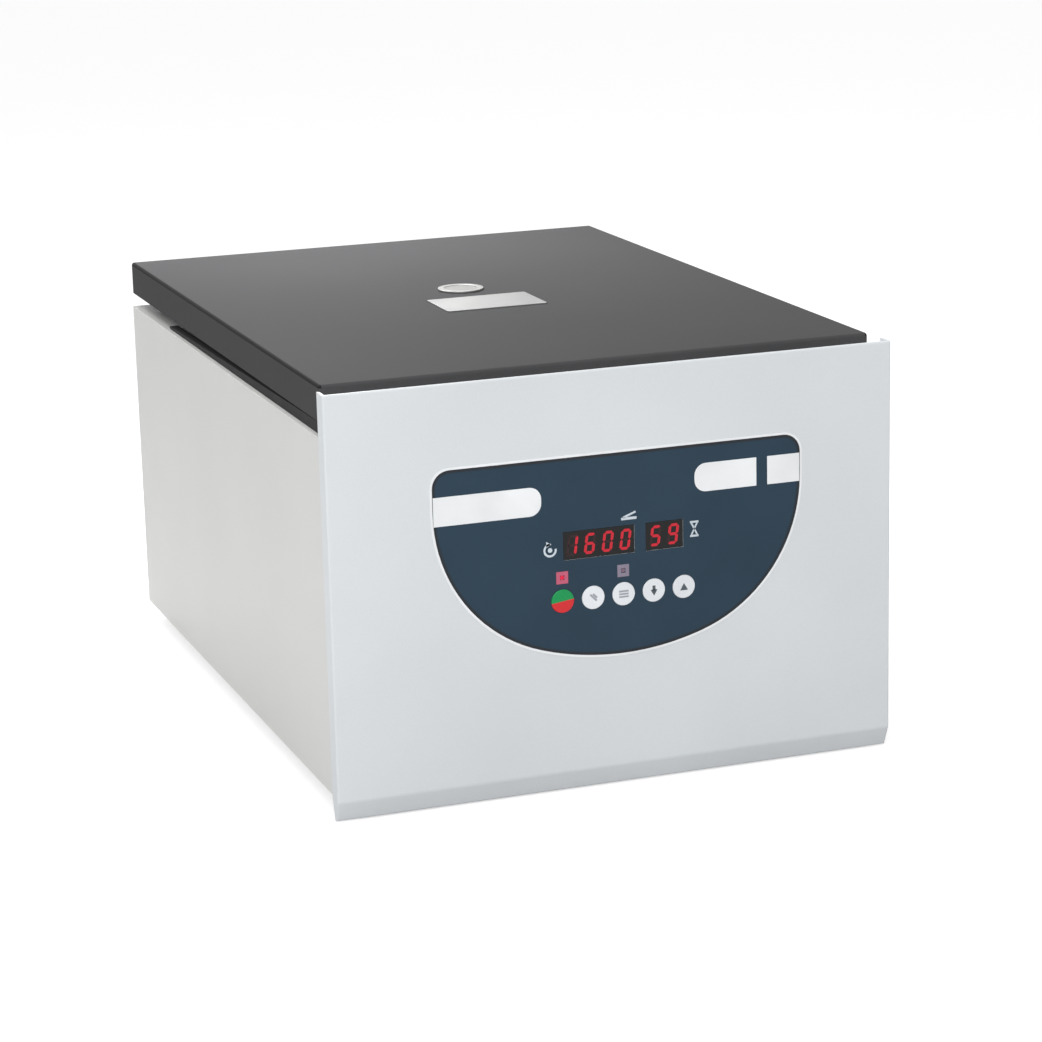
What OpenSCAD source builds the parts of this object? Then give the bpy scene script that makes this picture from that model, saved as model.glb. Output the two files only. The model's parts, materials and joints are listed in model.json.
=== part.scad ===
// Bench centrifuge for butterfat tubes, with a hinged lid and a front control panel.
// X runs to the right, Y to the rear and Z up from the bench, in millimetres.
// The origin lies on the bench, under the middle of the machine.

/* [Cabinet] */
// Width of the front panel
panel_w = 400; // [390:1:440]
// Depth from the front panel's face to the rear panel's outer face
body_d = 539; // [530:1:600]
// Thickness of the front panel's sheet
panel_t = 2; // [1.5:0.25:2.5]
// Thickness of the cabinet's other sheets
sheet_t = 1.5; // [1:0.25:2]
// How far the front panel rises over the deck
panel_rise = 31.5; // [28:0.5:36]
// Depth of the front panel's folded side returns
panel_return = 13; // [10:1:20]
// Height of the front panel's bottom edge above the bench
panel_bottom = 1; // [0.5:0.5:6]
// Height of the folded bevel along the front panel's bottom
bevel_h = 14.5; // [10:0.5:17]
// Depth of that bevel
bevel_d = 6.5; // [4:0.5:8]
// Width of the flanges turned in round the side panels
flange_w = 15; // [12:1:18]
// Height of the rubber feet, up to the base pan
foot_h = 17; // [13:0.5:20]
// Radius of the rubber feet
foot_r = 14; // [11:0.5:15]
// Thickness of the base pan
pan_t = 2; // [1.5:0.25:3]

/* [Motor] */
// Height of the rubber isolators under the motor plate
isolator_h = 18; // [17:0.5:24]
// Radius of the isolators
isolator_r = 12.5; // [10:0.5:14]
// Distance of each isolator from the chamber's axis, along X and along Y
isolator_reach = 75; // [72:1:85]
// Thickness of the motor plate
motor_plate_t = 4; // [3:0.5:6]
// Outer radius of the motor's housing
motor_r = 60; // [56:1:62]
// Length of the motor's housing tube
motor_h = 64; // [62:1:80]
// How far the housing hangs through the motor plate
motor_drop = 15; // [10:0.5:18]
// Wall of the motor's housing
motor_wall = 4; // [3:0.5:5]
// Radius of the drive shaft
shaft_r = 6; // [5:0.25:7]
// Outer radius of the ball bearings
bearing_r = 16; // [14:0.5:18]
// Width of the ball bearings
bearing_w = 9; // [8:0.5:10]
// Running clearance between the shaft and its bearings
running_gap = 0.03; // [0.02:0.01:0.08]

/* [Chamber] */
// Depth of the bowl under the deck
bowl_depth = 154; // [151:1:175]
// Wall of the bowl
bowl_wall = 1.2; // [0.8:0.1:2]
// Space between the motor's top and the bowl
boot_gap = 6; // [5:0.5:9]
// Clear space between the spinning rotor and the bowl's wall
bowl_clear = 13.5; // [10:0.5:18]
// Clear space between the spinning rotor and the bowl's floor
rotor_clear = 6.5; // [5:0.5:10]
// Distance from the chamber's axis to the rear panel's outer face
axis_to_rear = 226; // [215:1:240]
// Width of the chamber gasket
gasket_w = 10; // [8:1:12]
// Height of the chamber gasket
gasket_h = 10; // [9:0.5:12]

/* [Rotor] */
// Number of tube places
places = 8; // [6:2:8]
// Tilt of the tubes from upright, mouths towards the axis
tilt = 40; // [38:1:42]
// Radius at which the tubes' mouths stand
mouth_r = 58; // [56:1:62]
// Length of a tube shield
shield_len = 130; // [120:1:135]
// Inner radius of a tube shield
shield_bore_r = 12; // [11.5:0.25:12.5]
// Wall of a tube shield
shield_wall = 1; // [0.8:0.1:1.5]
// Radius of a shield's rim
rim_r = 16; // [15:0.5:17]
// Thickness of that rim
rim_t = 1.5; // [1:0.25:2]
// Thickness of the rubber cushion in a shield
cushion_t = 6; // [4:0.5:8]
// Sheet of the two rotor dishes
dish_t = 2; // [1.5:0.25:3]

/* [Lid] */
// Distance from the front panel's side to the lid's side
lid_inset = 5; // [4:0.5:8]
// Distance from the front panel's face to the lid's front edge
lid_setback = 25; // [22:0.5:35]
// How far the lid reaches past the rear panel
lid_overhang = 12; // [11:0.5:14]
// Open gap between the deck and the lid's skirt
lid_gap = 8.5; // [7:0.5:9.5]
// Height of the lid's skirt
lid_skirt = 24.5; // [23:0.5:30]
// Sheet of the lid
lid_t = 1.5; // [1:0.25:2]
// Outer radius of the viewport's bezel
bezel_r = 17; // [16:0.5:20]
// Distance of each hinge from the middle
hinge_x = 120; // [100:1:150]
// Height of the hinge axis over the deck
hinge_rise = 4.5; // [4:0.25:5]
// Radius of the hinge pins
hinge_pin_r = 2.5; // [2:0.25:3]
// Travel of the lock's bolt
bolt_travel = 12; // [11:0.5:14]

/* [Control panel] */
// Half the width of the control overlay
overlay_half_w = 130.5; // [128:0.5:140]
// Distance of the overlay's middle to the right of the panel's middle
overlay_x = 1.5; // [-3:0.5:4]
// Distance of the keys' middle to the right of the panel's middle
controls_x = 3; // [-4:0.5:6]
// Distance from the front panel's top edge down to the overlay
overlay_drop = 57; // [52:1:62]
// Thickness of the overlay film
overlay_t = 0.4; // [0.3:0.1:0.6]
// Diameter of a key
key_d = 16; // [14:0.5:17]
// Distance between neighbouring keys
key_pitch = 21.7; // [20:0.1:23]
// Distance from the overlay's top edge down to the keys
key_drop = 97; // [94:1:100]
// How far the keys stand out of the front panel
key_proud = 1; // [0.8:0.1:1.2]
// Travel of a key
key_travel = 0.7; // [0.4:0.05:0.8]
// Distance from the overlay's top edge down to the middle of the displays
display_drop = 59.8; // [58:0.2:62]
// Height of a display module
display_h = 19; // [18:0.5:20]
// Width of one digit's share of a display module
digit_pitch = 12.6; // [12:0.1:13]
// Height of a digit
digit_h = 14.2; // [12:0.2:15]
// Depth of a display module
display_t = 8; // [7:0.5:9]

/* [Rear panel] */
// Distance of the power inlet and the power switch from the middle
inlet_x = 130; // [120:1:145]
// Height of the power inlet's centre above the bench
inlet_z = 62; // [55:1:75]
// Height of the power switch's centre over the inlet's
switch_rise = 46; // [42:1:60]
// Angle between the rocker's two positions
rocker_swing = 24; // [16:1:26]

/* [Hidden] */

// Circles are cut finely enough to stay round
$fn = 96;
// Overshoot of a cut past the face that it goes through
cut = 1;
// Gap round a fixed pin, screw or ring in its hole
fixed_gap = 0.05;
// Gap on each side of a piece that slides or turns
slide_gap = 0.05;
// Gap between the base pan and the sheets round it
pan_gap = 0.2;
// Gap round the inlet and the switch in the rear panel
cutout_gap = 0.2;

// Heights, from the bench up
side_bottom = foot_h - sheet_t;
pan_top = foot_h + pan_t;
motor_plate_z = pan_top + isolator_h;
motor_plate_top = motor_plate_z + motor_plate_t;
motor_tube_z = motor_plate_top - motor_drop;
motor_tube_top = motor_tube_z + motor_h;
lower_cap_t = 4;
upper_cap_t = 6;
motor_top = motor_tube_top + upper_cap_t;
bowl_z = motor_top + boot_gap;
bowl_floor = bowl_z + bowl_wall;
deck_under = bowl_z + bowl_depth;
deck_z = deck_under + sheet_t;
panel_top = deck_z + panel_rise;
bevel_top = panel_bottom + bevel_h;
skirt_z = deck_z + lid_gap;
lid_top = skirt_z + lid_skirt;
lid_under = lid_top - lid_t;

// Depths, from the front to the rear
overall_d = key_proud + body_d + lid_overhang;
front_y = key_proud - overall_d / 2;
panel_in = front_y + panel_t;
rear_y = front_y + body_d;
rear_in = rear_y - sheet_t;
axis_y = rear_y - axis_to_rear;
lid_front = front_y + lid_setback;
lid_rear = rear_y + lid_overhang;
lid_rear_in = lid_rear - lid_t;
hinge_r = (lid_rear_in - rear_y) / 2;
hinge_y = rear_y + hinge_r;
hinge_z = deck_z + hinge_rise;

// Widths
panel_half = panel_w / 2;
side_x = panel_half - panel_t;
side_in = side_x - sheet_t;
lid_half = panel_half - lid_inset;
flange_mid = side_x - flange_w / 2;
deck_flange_w = flange_w + 5;
deck_screw_x = side_x - deck_flange_w + 3.5;

// Screws: shank radius, head radius and head height
m4_r = 2;
m4_head_r = 3.8;
m4_head_h = 2.2;
m5_r = 2.5;
m5_head_r = 4.25;
m5_head_h = 5;
m4_nut_r = 4.05;
m4_nut_t = 3.2;
screw_len = 7;

// Screw places along the sheets, as shares of the stretch between the end screws
edge_inset = 30;
deck_screw_y = [for (i = [0:3]) front_y + edge_inset + i * (body_d - 2 * edge_inset) / 3];
panel_screw_z = [for (i = [0:2]) side_bottom + edge_inset
    + i * (deck_under - side_bottom - 2 * edge_inset) / 2];
foot_x = side_x - flange_w - foot_r - 9;
foot_front_y = front_y + 45;
foot_rear_y = rear_y - 39;
foot_recess_r = 6;
foot_chamfer = 1.5;
foot_chamfer_h = 3;
foot_recess_h = 6;

// Motor
motor_flange_r = motor_r + 14;
motor_flange_t = 4;
motor_screw_r = motor_r + 7;
motor_plate_half = isolator_reach + isolator_r + 4.5;
cap_boss_r = bearing_r + 5;
lower_bearing_z = motor_tube_z;
upper_bearing_z = motor_tube_top - bearing_w;
core_z = lower_bearing_z + bearing_w + 5;
core_top = upper_bearing_z - 5;
armature_r = motor_r * 0.57;
air_gap = 0.6;
winding_t = 4;
isolator_screw_len = 8;

// Bowl
shield_r = shield_bore_r + shield_wall;
rotor_reach = mouth_r + shield_len * sin(tilt) + shield_r * cos(tilt);
bowl_r = rotor_reach + bowl_clear;
bowl_bend = 12;
bowl_flange_r = bowl_r + 11;
deck_hole_r = bowl_r + 3;
gasket_r = deck_hole_r + 1;
boot_seat_r = 30;
boot_lip = 3.5;
boot_lip_t = 1.8;
boot_wall = 3;

// Rotor
mouth_z = bowl_floor + rotor_clear + shield_len * cos(tilt) + shield_r * sin(tilt);
shield_floor_t = 2;
bore_len = shield_len - shield_floor_t - cushion_t;
cushion_seat_r = shield_bore_r - 1;
shield_hole_r = shield_r + 0.2;
upper_face = rim_t;
lower_face = 76;
upper_flat_r = 34;
upper_edge_r = 84;
lower_flat_r = 82;
lower_edge_r = 124;
hub_r = 18;
hub_flange_r = 30;
hub_flange_t = 6;
collar_r = 11;
collar_h = 8;
nut_h = 13;
nut_af = 24;
shaft_end = 4;

// Place where the top of a dish meets a shield's axis, so far down the shield
function dish_r(face) = mouth_r + face * sin(tilt);
function dish_z(face) = mouth_z - face * cos(tilt);
// Height of a dish's top face over the flat at the given distance from the axis
function dish_flat_z(face, flat_r) = dish_z(face) - (dish_r(face) - flat_r) * tan(tilt);
upper_dish_z = dish_flat_z(upper_face, upper_flat_r);
lower_dish_z = dish_flat_z(lower_face, lower_flat_r);
shaft_top = upper_dish_z + nut_h + shaft_end;
shaft_bottom = lower_bearing_z + 0.5;

// Lid
liner_t = 1;
liner_plate_z = lid_under - 10;
liner_foot_z = deck_z + gasket_h + 0.3;
liner_r = gasket_r + 2;
liner_foot_r = gasket_r + gasket_w - 1.5;
liner_flange_r = liner_r + 9;
sight_r = bezel_r - 2.5;
lens_r = sight_r - 2;
bezel_h = 1.5;
lens_t = 2;
lens_drop = 0.4;
plate_w = 76;
plate_d = 50;
plate_t = 0.8;
plate_y = axis_y - 59;

// Hinges
leaf_w = 40;
leaf_t = 1.5;
leaf_h = 26;
lid_knuckle_w = 13.6;
knuckle_gap = 0.2;
leaf_screw_x = 12;
leaf_screw_drop = 16;

// Lock
lock_y = lid_front + 14;
bolt_r = 4;
bolt_z = deck_z - 13.5;
bolt_len = 24;
striker_t = 3;
striker_w = 16;
striker_end = bolt_z - 8;
slot_x = 3.5;
slot_y = striker_w / 2 + 3;
bolt_start = slot_x + 2.5;
lock_left = bolt_start - bolt_travel - 8;
lock_right = bolt_start + bolt_len + 4;
lock_wall = 5;
lock_z = striker_end - 6;
lock_motor_len = 30;
lock_motor_half_d = 14;
lock_motor_half_h = 10;
striker_foot_w = 28;

// Control panel
overlay_top = panel_top - overlay_drop;
overlay_front = front_y - overlay_t;
overlay_corner = 12;
overlay_side_h = 29;
side_arc_r = 105;
bottom_arc_r = 188;
side_arc_x = overlay_half_w - side_arc_r;
side_arc_z = overlay_top - overlay_side_h;
bottom_arc_z = side_arc_z + sqrt(pow(bottom_arc_r - side_arc_r, 2) - pow(side_arc_x, 2));
tangent_a = atan2(side_arc_z - bottom_arc_z, side_arc_x);
display_z = overlay_top - display_drop;
speed_x = controls_x - 16.8;
time_x = controls_x + 30;
speed_w = 4 * digit_pitch;
time_w = 2 * digit_pitch + 1.6;
display_gap = 0.2;
display_face = front_y + 0.1;
board_y = display_face + display_t;
board_t = 1.6;
board_half_w = 72;
board_top = display_z + display_h / 2 + 12;
key_z = overlay_top - key_drop;
key_r = key_d / 2;
key_gap = 0.15;
key_flange = 1.2;
key_flange_t = 1;
key_back = panel_in + fixed_gap + key_flange_t;
key_post_r = 2.4;
switch_size = 10;
switch_h_back = 3.1;
switch_gap = 0.1;
key_post_back = board_y - switch_h_back - key_travel - switch_gap;
board_bottom = key_z - 18;
lamp_z = key_z + 16;
lamp_r = 1.5;
lamp_x = [key_x(-2), key_x(0)];
label_t = 0.1;
label_h = 19.5;
label_inset = 0.4;
label_left_drop = 37;
label_left_end = overlay_x - 55.5;
label_right_drop = 33;
label_right_start = overlay_x + 53.5;
label_gap_start = overlay_x + 98.5;
label_gap_end = overlay_x + 106.5;
standoff_r = 3;
standoff_inset = 6;
standoff_x = [for (s = [-1, 1]) controls_x + s * (board_half_w - standoff_inset)];
standoff_z = [board_bottom + standoff_inset, board_top - standoff_inset];

// Digits: which of the segments a to g are lit in the numbers 0 to 9
LIT = ["abcdef", "bc", "abged", "abgcd", "fgbc", "afgcd", "afgedc", "abc", "abcdefg", "abcdfg"];
digit_slant = 8;
segment_w = 1.9;
segment_gap = 0.25;
digit_w = 7.4;

// Boards and parts on the base pan
power_board_x = -172;
power_board_w = 120;
power_board_y = front_y + 25;
power_board_d = 92;
power_standoff = 6;
power_board_z = pan_top + power_standoff;
capacitor_r = 12;
capacitor_h = 36;
capacitor_x = [20, 48];
choke_x = 86;
choke_r = 14;
choke_h = 12;
parts_y = 24;
sink_inset = 12;
sink_y = 60;
sink_t = 4;
sink_h = 24;
fin_t = 2;
fin_pitch = 4.4;
fins = 6;
transformer_x = 62;
transformer_w = 64;
transformer_d = 54;
transformer_h = 50;
transformer_limb = 12;
transformer_recess = 8;
ribbon_w = 15;
ribbon_t = 1;
ribbon_x = power_board_x + power_board_w - 1;
ribbon_bow = 9;
ribbon_rise = 8;
ribbon_lap = 10;

// Power inlet and switch
inlet_w = 27.4;
inlet_h = 19.8;
inlet_flange_w = 50;
inlet_flange_h = 24;
inlet_flange_t = 3;
inlet_depth = 22;
inlet_cavity_w = 24.4;
inlet_cavity_h = 16.6;
inlet_cavity_d = 17;
inlet_pin_pitch = 7;
inlet_pin_rise = 4;
inlet_pin_t = 2;
inlet_pin_w = 4;
inlet_corner = 5;
inlet_screw_x = 20;
switch_z = inlet_z + switch_rise;
switch_w = 22;
switch_h = 29;
switch_flange = 2;
switch_depth = 20;
well_depth = 10;
well_w = 19;
well_h = 26.8;
rocker_w = well_w - 0.4;
rocker_half_h = 12;
rocker_y = rear_y - 3;
rocker_pin_r = 1.5;
rocker_pin_len = 1;
rocker_back = 3;
rocker_end = 4.5;
vent_rows = 12;
vent_pitch = 8;
vent_w = 64;
vent_h = 3;
vent_x = 10;
vent_z = 70;

// A box between two corners
module block(x0, x1, y0, y1, z0, z1) {
    translate([x0, y0, z0]) cube([x1 - x0, y1 - y0, z1 - z0]);
}

// A flat piece drawn as seen from the front, from depth y and t thick
module sheet(y, t) {
    translate([0, y + t, 0]) rotate([90, 0, 0]) linear_extrude(t) children();
}

// A round bar along Y from depth y, h long, at x and z
module bar_y(x, y, z, r, h) {
    translate([x, y, z]) rotate([-90, 0, 0]) cylinder(r = r, h = h);
}

// A round bar along X from x, h long, at y and z
module bar_x(x, y, z, r, h) {
    translate([x, y, z]) rotate([0, 90, 0]) cylinder(r = r, h = h);
}

// A flat ring standing on the ground plane
module ring(outer, inner, h) {
    difference() {
        cylinder(r = outer, h = h);
        translate([0, 0, -cut]) cylinder(r = inner, h = h + 2 * cut);
    }
}

// Moves a piece to the chamber's axis
module on_axis() {
    translate([0, axis_y, 0]) children();
}

// Repeats a piece once for each tube place, round the chamber's axis
module each_place() {
    on_axis() for (i = [0:places - 1]) rotate([0, 0, i * 360 / places]) children();
}

// Turns a piece so that its Z axis points out of a shield's mouth
module at_mouth() {
    translate([mouth_r, 0, mouth_z]) rotate([0, -tilt, 0]) children();
}

// Points along an arc round (cx, cy) in the drawing plane
function arc(cx, cy, r, a0, a1, n) =
    [for (i = [0:n]) [cx + r * cos(a0 + (a1 - a0) * i / n), cy + r * sin(a0 + (a1 - a0) * i / n)]];

// Outline of a rectangle with round corners, about the origin
function round_rect(w, h, r, n) = concat(
    arc(w / 2 - r, h / 2 - r, r, 0, 90, n), arc(r - w / 2, h / 2 - r, r, 90, 180, n),
    arc(r - w / 2, r - h / 2, r, 180, 270, n), arc(w / 2 - r, r - h / 2, r, 270, 360, n));

// A button-head screw whose head stands on the ground plane, shank down
module button_screw(r, head_r, head_h, len) {
    difference() {
        union() {
            cylinder(r = head_r, h = head_h);
            translate([0, 0, -len]) cylinder(r = r, h = len + head_h / 2);
        }
        translate([0, 0, head_h * 0.4]) cylinder(r = r * 0.72, h = head_h, $fn = 6);
    }
}

// Places of the deck's screws, on the deck's top
module deck_screw_places() {
    for (x = [-deck_screw_x, deck_screw_x], y = deck_screw_y) translate([x, y, deck_z]) children();
}

// Places of the screws that hold the side panels to the base pan, heads down
module pan_screw_places() {
    for (x = [-flange_mid, flange_mid], y = deck_screw_y)
        translate([x, y, side_bottom]) rotate([180, 0, 0]) children();
}

// Places of the rear panel's screws, heads to the rear
module rear_screw_places() {
    for (x = [-flange_mid, flange_mid], z = panel_screw_z)
        translate([x, rear_y, z]) rotate([-90, 0, 0]) children();
}

// Places of the hinge leaves' screws, heads to the rear
module leaf_screw_places() {
    for (s = [-1, 1], x = [-leaf_screw_x, leaf_screw_x])
        translate([s * hinge_x + x, rear_y + leaf_t, hinge_z - leaf_screw_drop])
            rotate([-90, 0, 0]) children();
}

// Hole for a screw's shank, through everything near the screw's place
module screw_hole(r) {
    translate([0, 0, -screw_len - cut]) cylinder(r = r + fixed_gap, h = screw_len + 2 * cut);
}

// Place of a key along X, counted from the middle one
function key_x(i) = controls_x + i * key_pitch;

// Outline of the control overlay as seen from the front
module overlay_outline() {
    corner_x = overlay_half_w - overlay_corner;
    corner_z = overlay_top - overlay_corner;
    right = concat(
        arc(0, bottom_arc_z, bottom_arc_r, -90, tangent_a, 12),
        arc(side_arc_x, side_arc_z, side_arc_r, tangent_a, 0, 20),
        arc(corner_x, corner_z, overlay_corner, 0, 90, 8));
    left = [for (i = [len(right) - 1:-1:1]) [-right[i][0], right[i][1]]];
    translate([overlay_x, 0]) polygon(concat(right, left));
}

// Windows of the two displays, as seen from the front
module display_windows(gap) {
    for (w = [[speed_x, speed_w], [time_x, time_w]])
        translate([w[0], display_z])
            square([w[1] + 2 * gap, display_h + 2 * gap], center = true);
}

// Holes for the keys and the lamps, as seen from the front
module control_holes() {
    for (i = [-2:2]) translate([key_x(i), key_z]) circle(r = key_r + key_gap);
    for (x = lamp_x) translate([x, lamp_z]) circle(r = lamp_r + fixed_gap);
}

// One bent sheet, with a bevelled foot and a short lip under the cabinet
module front_panel() {
    lip = panel_return + 2;
    slope = bevel_h / bevel_d;
    face_bend = panel_t * (sqrt(1 + slope * slope) - slope);
    foot_bend = panel_t * (sqrt(1 + slope * slope) - 1) / slope;
    foot_y = front_y + bevel_d;
    return_y = front_y + panel_return;
    color([0.85, 0.87, 0.88]) difference() {
        union() {
            translate([-panel_half, 0, 0]) rotate([90, 0, 90]) linear_extrude(panel_w)
                polygon([[front_y, panel_top], [front_y, bevel_top], [foot_y, panel_bottom],
                    [foot_y + foot_bend + panel_t / slope, panel_bottom],
                    [panel_in, bevel_top + face_bend], [panel_in, panel_top]]);
            block(flange_w - panel_half, panel_half - flange_w, foot_y, foot_y + lip,
                panel_bottom, panel_bottom + panel_t);
            for (x = [-panel_half, side_x])
                translate([x, 0, 0]) rotate([90, 0, 90]) linear_extrude(panel_t)
                    polygon([[front_y, panel_top], [front_y, bevel_top], [foot_y, panel_bottom],
                        [foot_y + panel_t, panel_bottom], [return_y, side_bottom],
                        [return_y, panel_top]]);
            for (x = [-flange_mid, flange_mid], z = panel_screw_z)
                bar_y(x, panel_in - panel_t / 2, z, m4_r, panel_t / 2 + sheet_t + m4_nut_t + 1);
        }
        sheet(front_y - cut, panel_t + 2 * cut) {
            display_windows(display_gap);
            control_holes();
        }
    }
}

// The side panel on the right: a web with flanges turned in on all four edges
module side_panel() {
    inner = side_x - flange_w;
    difference() {
        union() {
            block(side_in, side_x, panel_in, rear_in, side_bottom, deck_under);
            block(side_x - deck_flange_w, side_x, panel_in, rear_in, deck_under - sheet_t, deck_under);
            block(inner, side_x, panel_in, rear_in, side_bottom, foot_h);
            block(inner, side_x, panel_in, panel_in + sheet_t, side_bottom, deck_under);
            block(inner, side_x, rear_in - sheet_t, rear_in, side_bottom, deck_under);
        }
        block(inner - cut, side_x + cut, panel_in - cut, panel_in + bevel_d,
            side_bottom - cut, bevel_top + cut);
        deck_screw_places() screw_hole(m4_r);
        pan_screw_places() screw_hole(m4_r);
        rear_screw_places() screw_hole(m4_r);
        for (z = panel_screw_z)
            bar_y(flange_mid, panel_in - cut, z, m4_r + fixed_gap, sheet_t + 2 * cut);
    }
}

module left_side() {
    color([0.84, 0.84, 0.83]) mirror([1, 0, 0]) side_panel();
}

module right_side() {
    color([0.84, 0.84, 0.83]) side_panel();
}

module deck() {
    color([0.84, 0.84, 0.83]) difference() {
        block(-side_x, side_x, panel_in, rear_y, deck_under, deck_z);
        on_axis() translate([0, 0, deck_under - cut]) cylinder(r = deck_hole_r, h = sheet_t + 2 * cut);
        block(-slot_x, slot_x, lock_y - slot_y, lock_y + slot_y, deck_under - cut, deck_z + cut);
        deck_screw_places() screw_hole(m4_r);
    }
}

// Opening through the rear panel for a piece w wide and h high
module rear_cutout(w, h, z) {
    half_w = w / 2 + cutout_gap;
    half_h = h / 2 + cutout_gap;
    block(inlet_x - half_w, inlet_x + half_w, rear_in - cut, rear_y + cut, z - half_h, z + half_h);
}

module rear_panel() {
    color([0.84, 0.84, 0.83]) difference() {
        block(-side_x, side_x, rear_in, rear_y, side_bottom, deck_under);
        rear_screw_places() screw_hole(m4_r);
        leaf_screw_places() screw_hole(m4_r);
        for (i = [0:vent_rows - 1], s = [-1, 1])
            translate([s * (vent_x + vent_w / 2), rear_y, vent_z + i * vent_pitch])
                cube([vent_w, 4 * sheet_t, vent_h], center = true);
        rear_cutout(inlet_w, inlet_h, inlet_z);
        rear_cutout(switch_w, switch_h, switch_z);
        for (s = [-1, 1])
            bar_y(inlet_x + s * inlet_screw_x, rear_in - cut, inlet_z, m4_r, sheet_t + 2 * cut);
    }
}

// Floor tray, with its front and rear edges turned up
module base_pan() {
    pan_front = panel_in + bevel_d + 1;
    pan_rear = rear_in - sheet_t - pan_gap;
    pan_half = side_in - pan_gap;
    edge_x = side_x - flange_w - 3;
    color("gainsboro") difference() {
        union() {
            block(-pan_half, pan_half, pan_front, pan_rear, foot_h, pan_top);
            block(-edge_x, edge_x, pan_front, pan_front + pan_t, pan_top, pan_top + flange_w);
            block(-edge_x, edge_x, pan_rear - pan_t, pan_rear, pan_top, pan_top + flange_w);
        }
        pan_screw_places() screw_hole(m4_r);
        foot_places() translate([0, 0, foot_h - cut])
            cylinder(r = m5_r + fixed_gap, h = pan_t + 2 * cut);
        isolator_places() translate([0, 0, foot_h - cut])
            cylinder(r = m5_r + fixed_gap, h = pan_t + 2 * cut);
    }
}

module foot_places() {
    for (x = [-foot_x, foot_x], y = [foot_front_y, foot_rear_y]) translate([x, y, 0]) children();
}

// Rubber feet, each with a recess for its screw
module feet() {
    color([0.12, 0.12, 0.13]) foot_places() difference() {
        union() {
            cylinder(r1 = foot_r - foot_chamfer, r2 = foot_r, h = foot_chamfer_h);
            translate([0, 0, foot_chamfer_h]) cylinder(r = foot_r, h = foot_h - foot_chamfer_h);
        }
        translate([0, 0, -cut]) cylinder(r = foot_recess_r, h = foot_recess_h + cut);
        cylinder(r = m5_r + fixed_gap, h = foot_h + cut);
    }
}

module cabinet_screws() {
    color("silver") {
        deck_screw_places() button_screw(m4_r, m4_head_r, m4_head_h, screw_len);
        pan_screw_places() button_screw(m4_r, m4_head_r, m4_head_h, screw_len);
        rear_screw_places() button_screw(m4_r, m4_head_r, m4_head_h, screw_len);
        leaf_screw_places() button_screw(m4_r, m4_head_r, m4_head_h, screw_len);
    }
}

// Nuts on the studs welded behind the front panel
module panel_nuts() {
    color("silver") for (x = [-flange_mid, flange_mid], z = panel_screw_z)
        translate([x, panel_in + sheet_t, z]) rotate([-90, 0, 0]) difference() {
            cylinder(r = m4_nut_r, h = m4_nut_t, $fn = 6);
            translate([0, 0, -cut]) cylinder(r = m4_r + fixed_gap, h = m4_nut_t + 2 * cut);
        }
}

// Spun bowl, with a rolled corner and a flange under the deck
module bowl() {
    floor_r = bowl_r - bowl_bend;
    color([0.78, 0.79, 0.8]) on_axis() rotate_extrude() {
        translate([boot_seat_r, bowl_z]) square([floor_r - boot_seat_r, bowl_wall]);
        intersection() {
            translate([floor_r, bowl_floor + bowl_bend]) difference() {
                circle(r = bowl_bend + bowl_wall);
                circle(r = bowl_bend);
            }
            translate([floor_r, bowl_z]) square([bowl_bend + bowl_wall, bowl_bend + bowl_wall]);
        }
        translate([bowl_r, bowl_floor + bowl_bend])
            square([bowl_wall, deck_under - bowl_floor - bowl_bend]);
        translate([bowl_r, deck_under - bowl_wall]) square([bowl_flange_r - bowl_r, bowl_wall]);
    }
}

// Rubber boot that closes the bowl's hole round the shaft
module bowl_boot() {
    inner = boot_seat_r - boot_wall;
    outer = boot_seat_r + boot_lip;
    color([0.12, 0.12, 0.13]) on_axis() rotate_extrude()
        polygon([[inner - boot_wall, motor_top], [boot_seat_r - 1, motor_top],
            [boot_seat_r - 1, motor_top + boot_lip_t], [outer, bowl_z - boot_lip_t], [outer, bowl_z],
            [boot_seat_r, bowl_z], [boot_seat_r, bowl_floor], [outer, bowl_floor],
            [outer, bowl_floor + boot_lip_t], [inner, bowl_floor + boot_lip_t],
            [inner, bowl_z - boot_lip_t], [inner - boot_wall, motor_top + boot_lip_t]]);
}

module chamber_gasket() {
    color([0.12, 0.12, 0.13]) on_axis() translate([0, 0, deck_z])
        ring(gasket_r + gasket_w, gasket_r, gasket_h);
}

// Places round the motor's axis, one for each of four corners
module motor_screw_places() {
    on_axis() for (a = [45:90:315]) rotate([0, 0, a]) translate([motor_screw_r, 0, 0]) children();
}

module isolator_places() {
    on_axis() for (x = [-1, 1], y = [-1, 1])
        translate([x * isolator_reach, y * isolator_reach, 0]) children();
}

module motor_housing() {
    color([0.35, 0.37, 0.4]) on_axis() difference() {
        union() {
            translate([0, 0, motor_tube_z]) cylinder(r = motor_r, h = motor_h);
            translate([0, 0, motor_plate_top]) cylinder(r = motor_flange_r, h = motor_flange_t);
        }
        translate([0, 0, motor_tube_z - cut])
            cylinder(r = motor_r - motor_wall, h = motor_h + 2 * cut);
        for (a = [45:90:315]) rotate([0, 0, a])
            translate([motor_screw_r, 0, motor_plate_top - cut])
                cylinder(r = m5_r + fixed_gap, h = motor_flange_t + 2 * cut);
    }
}

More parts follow.
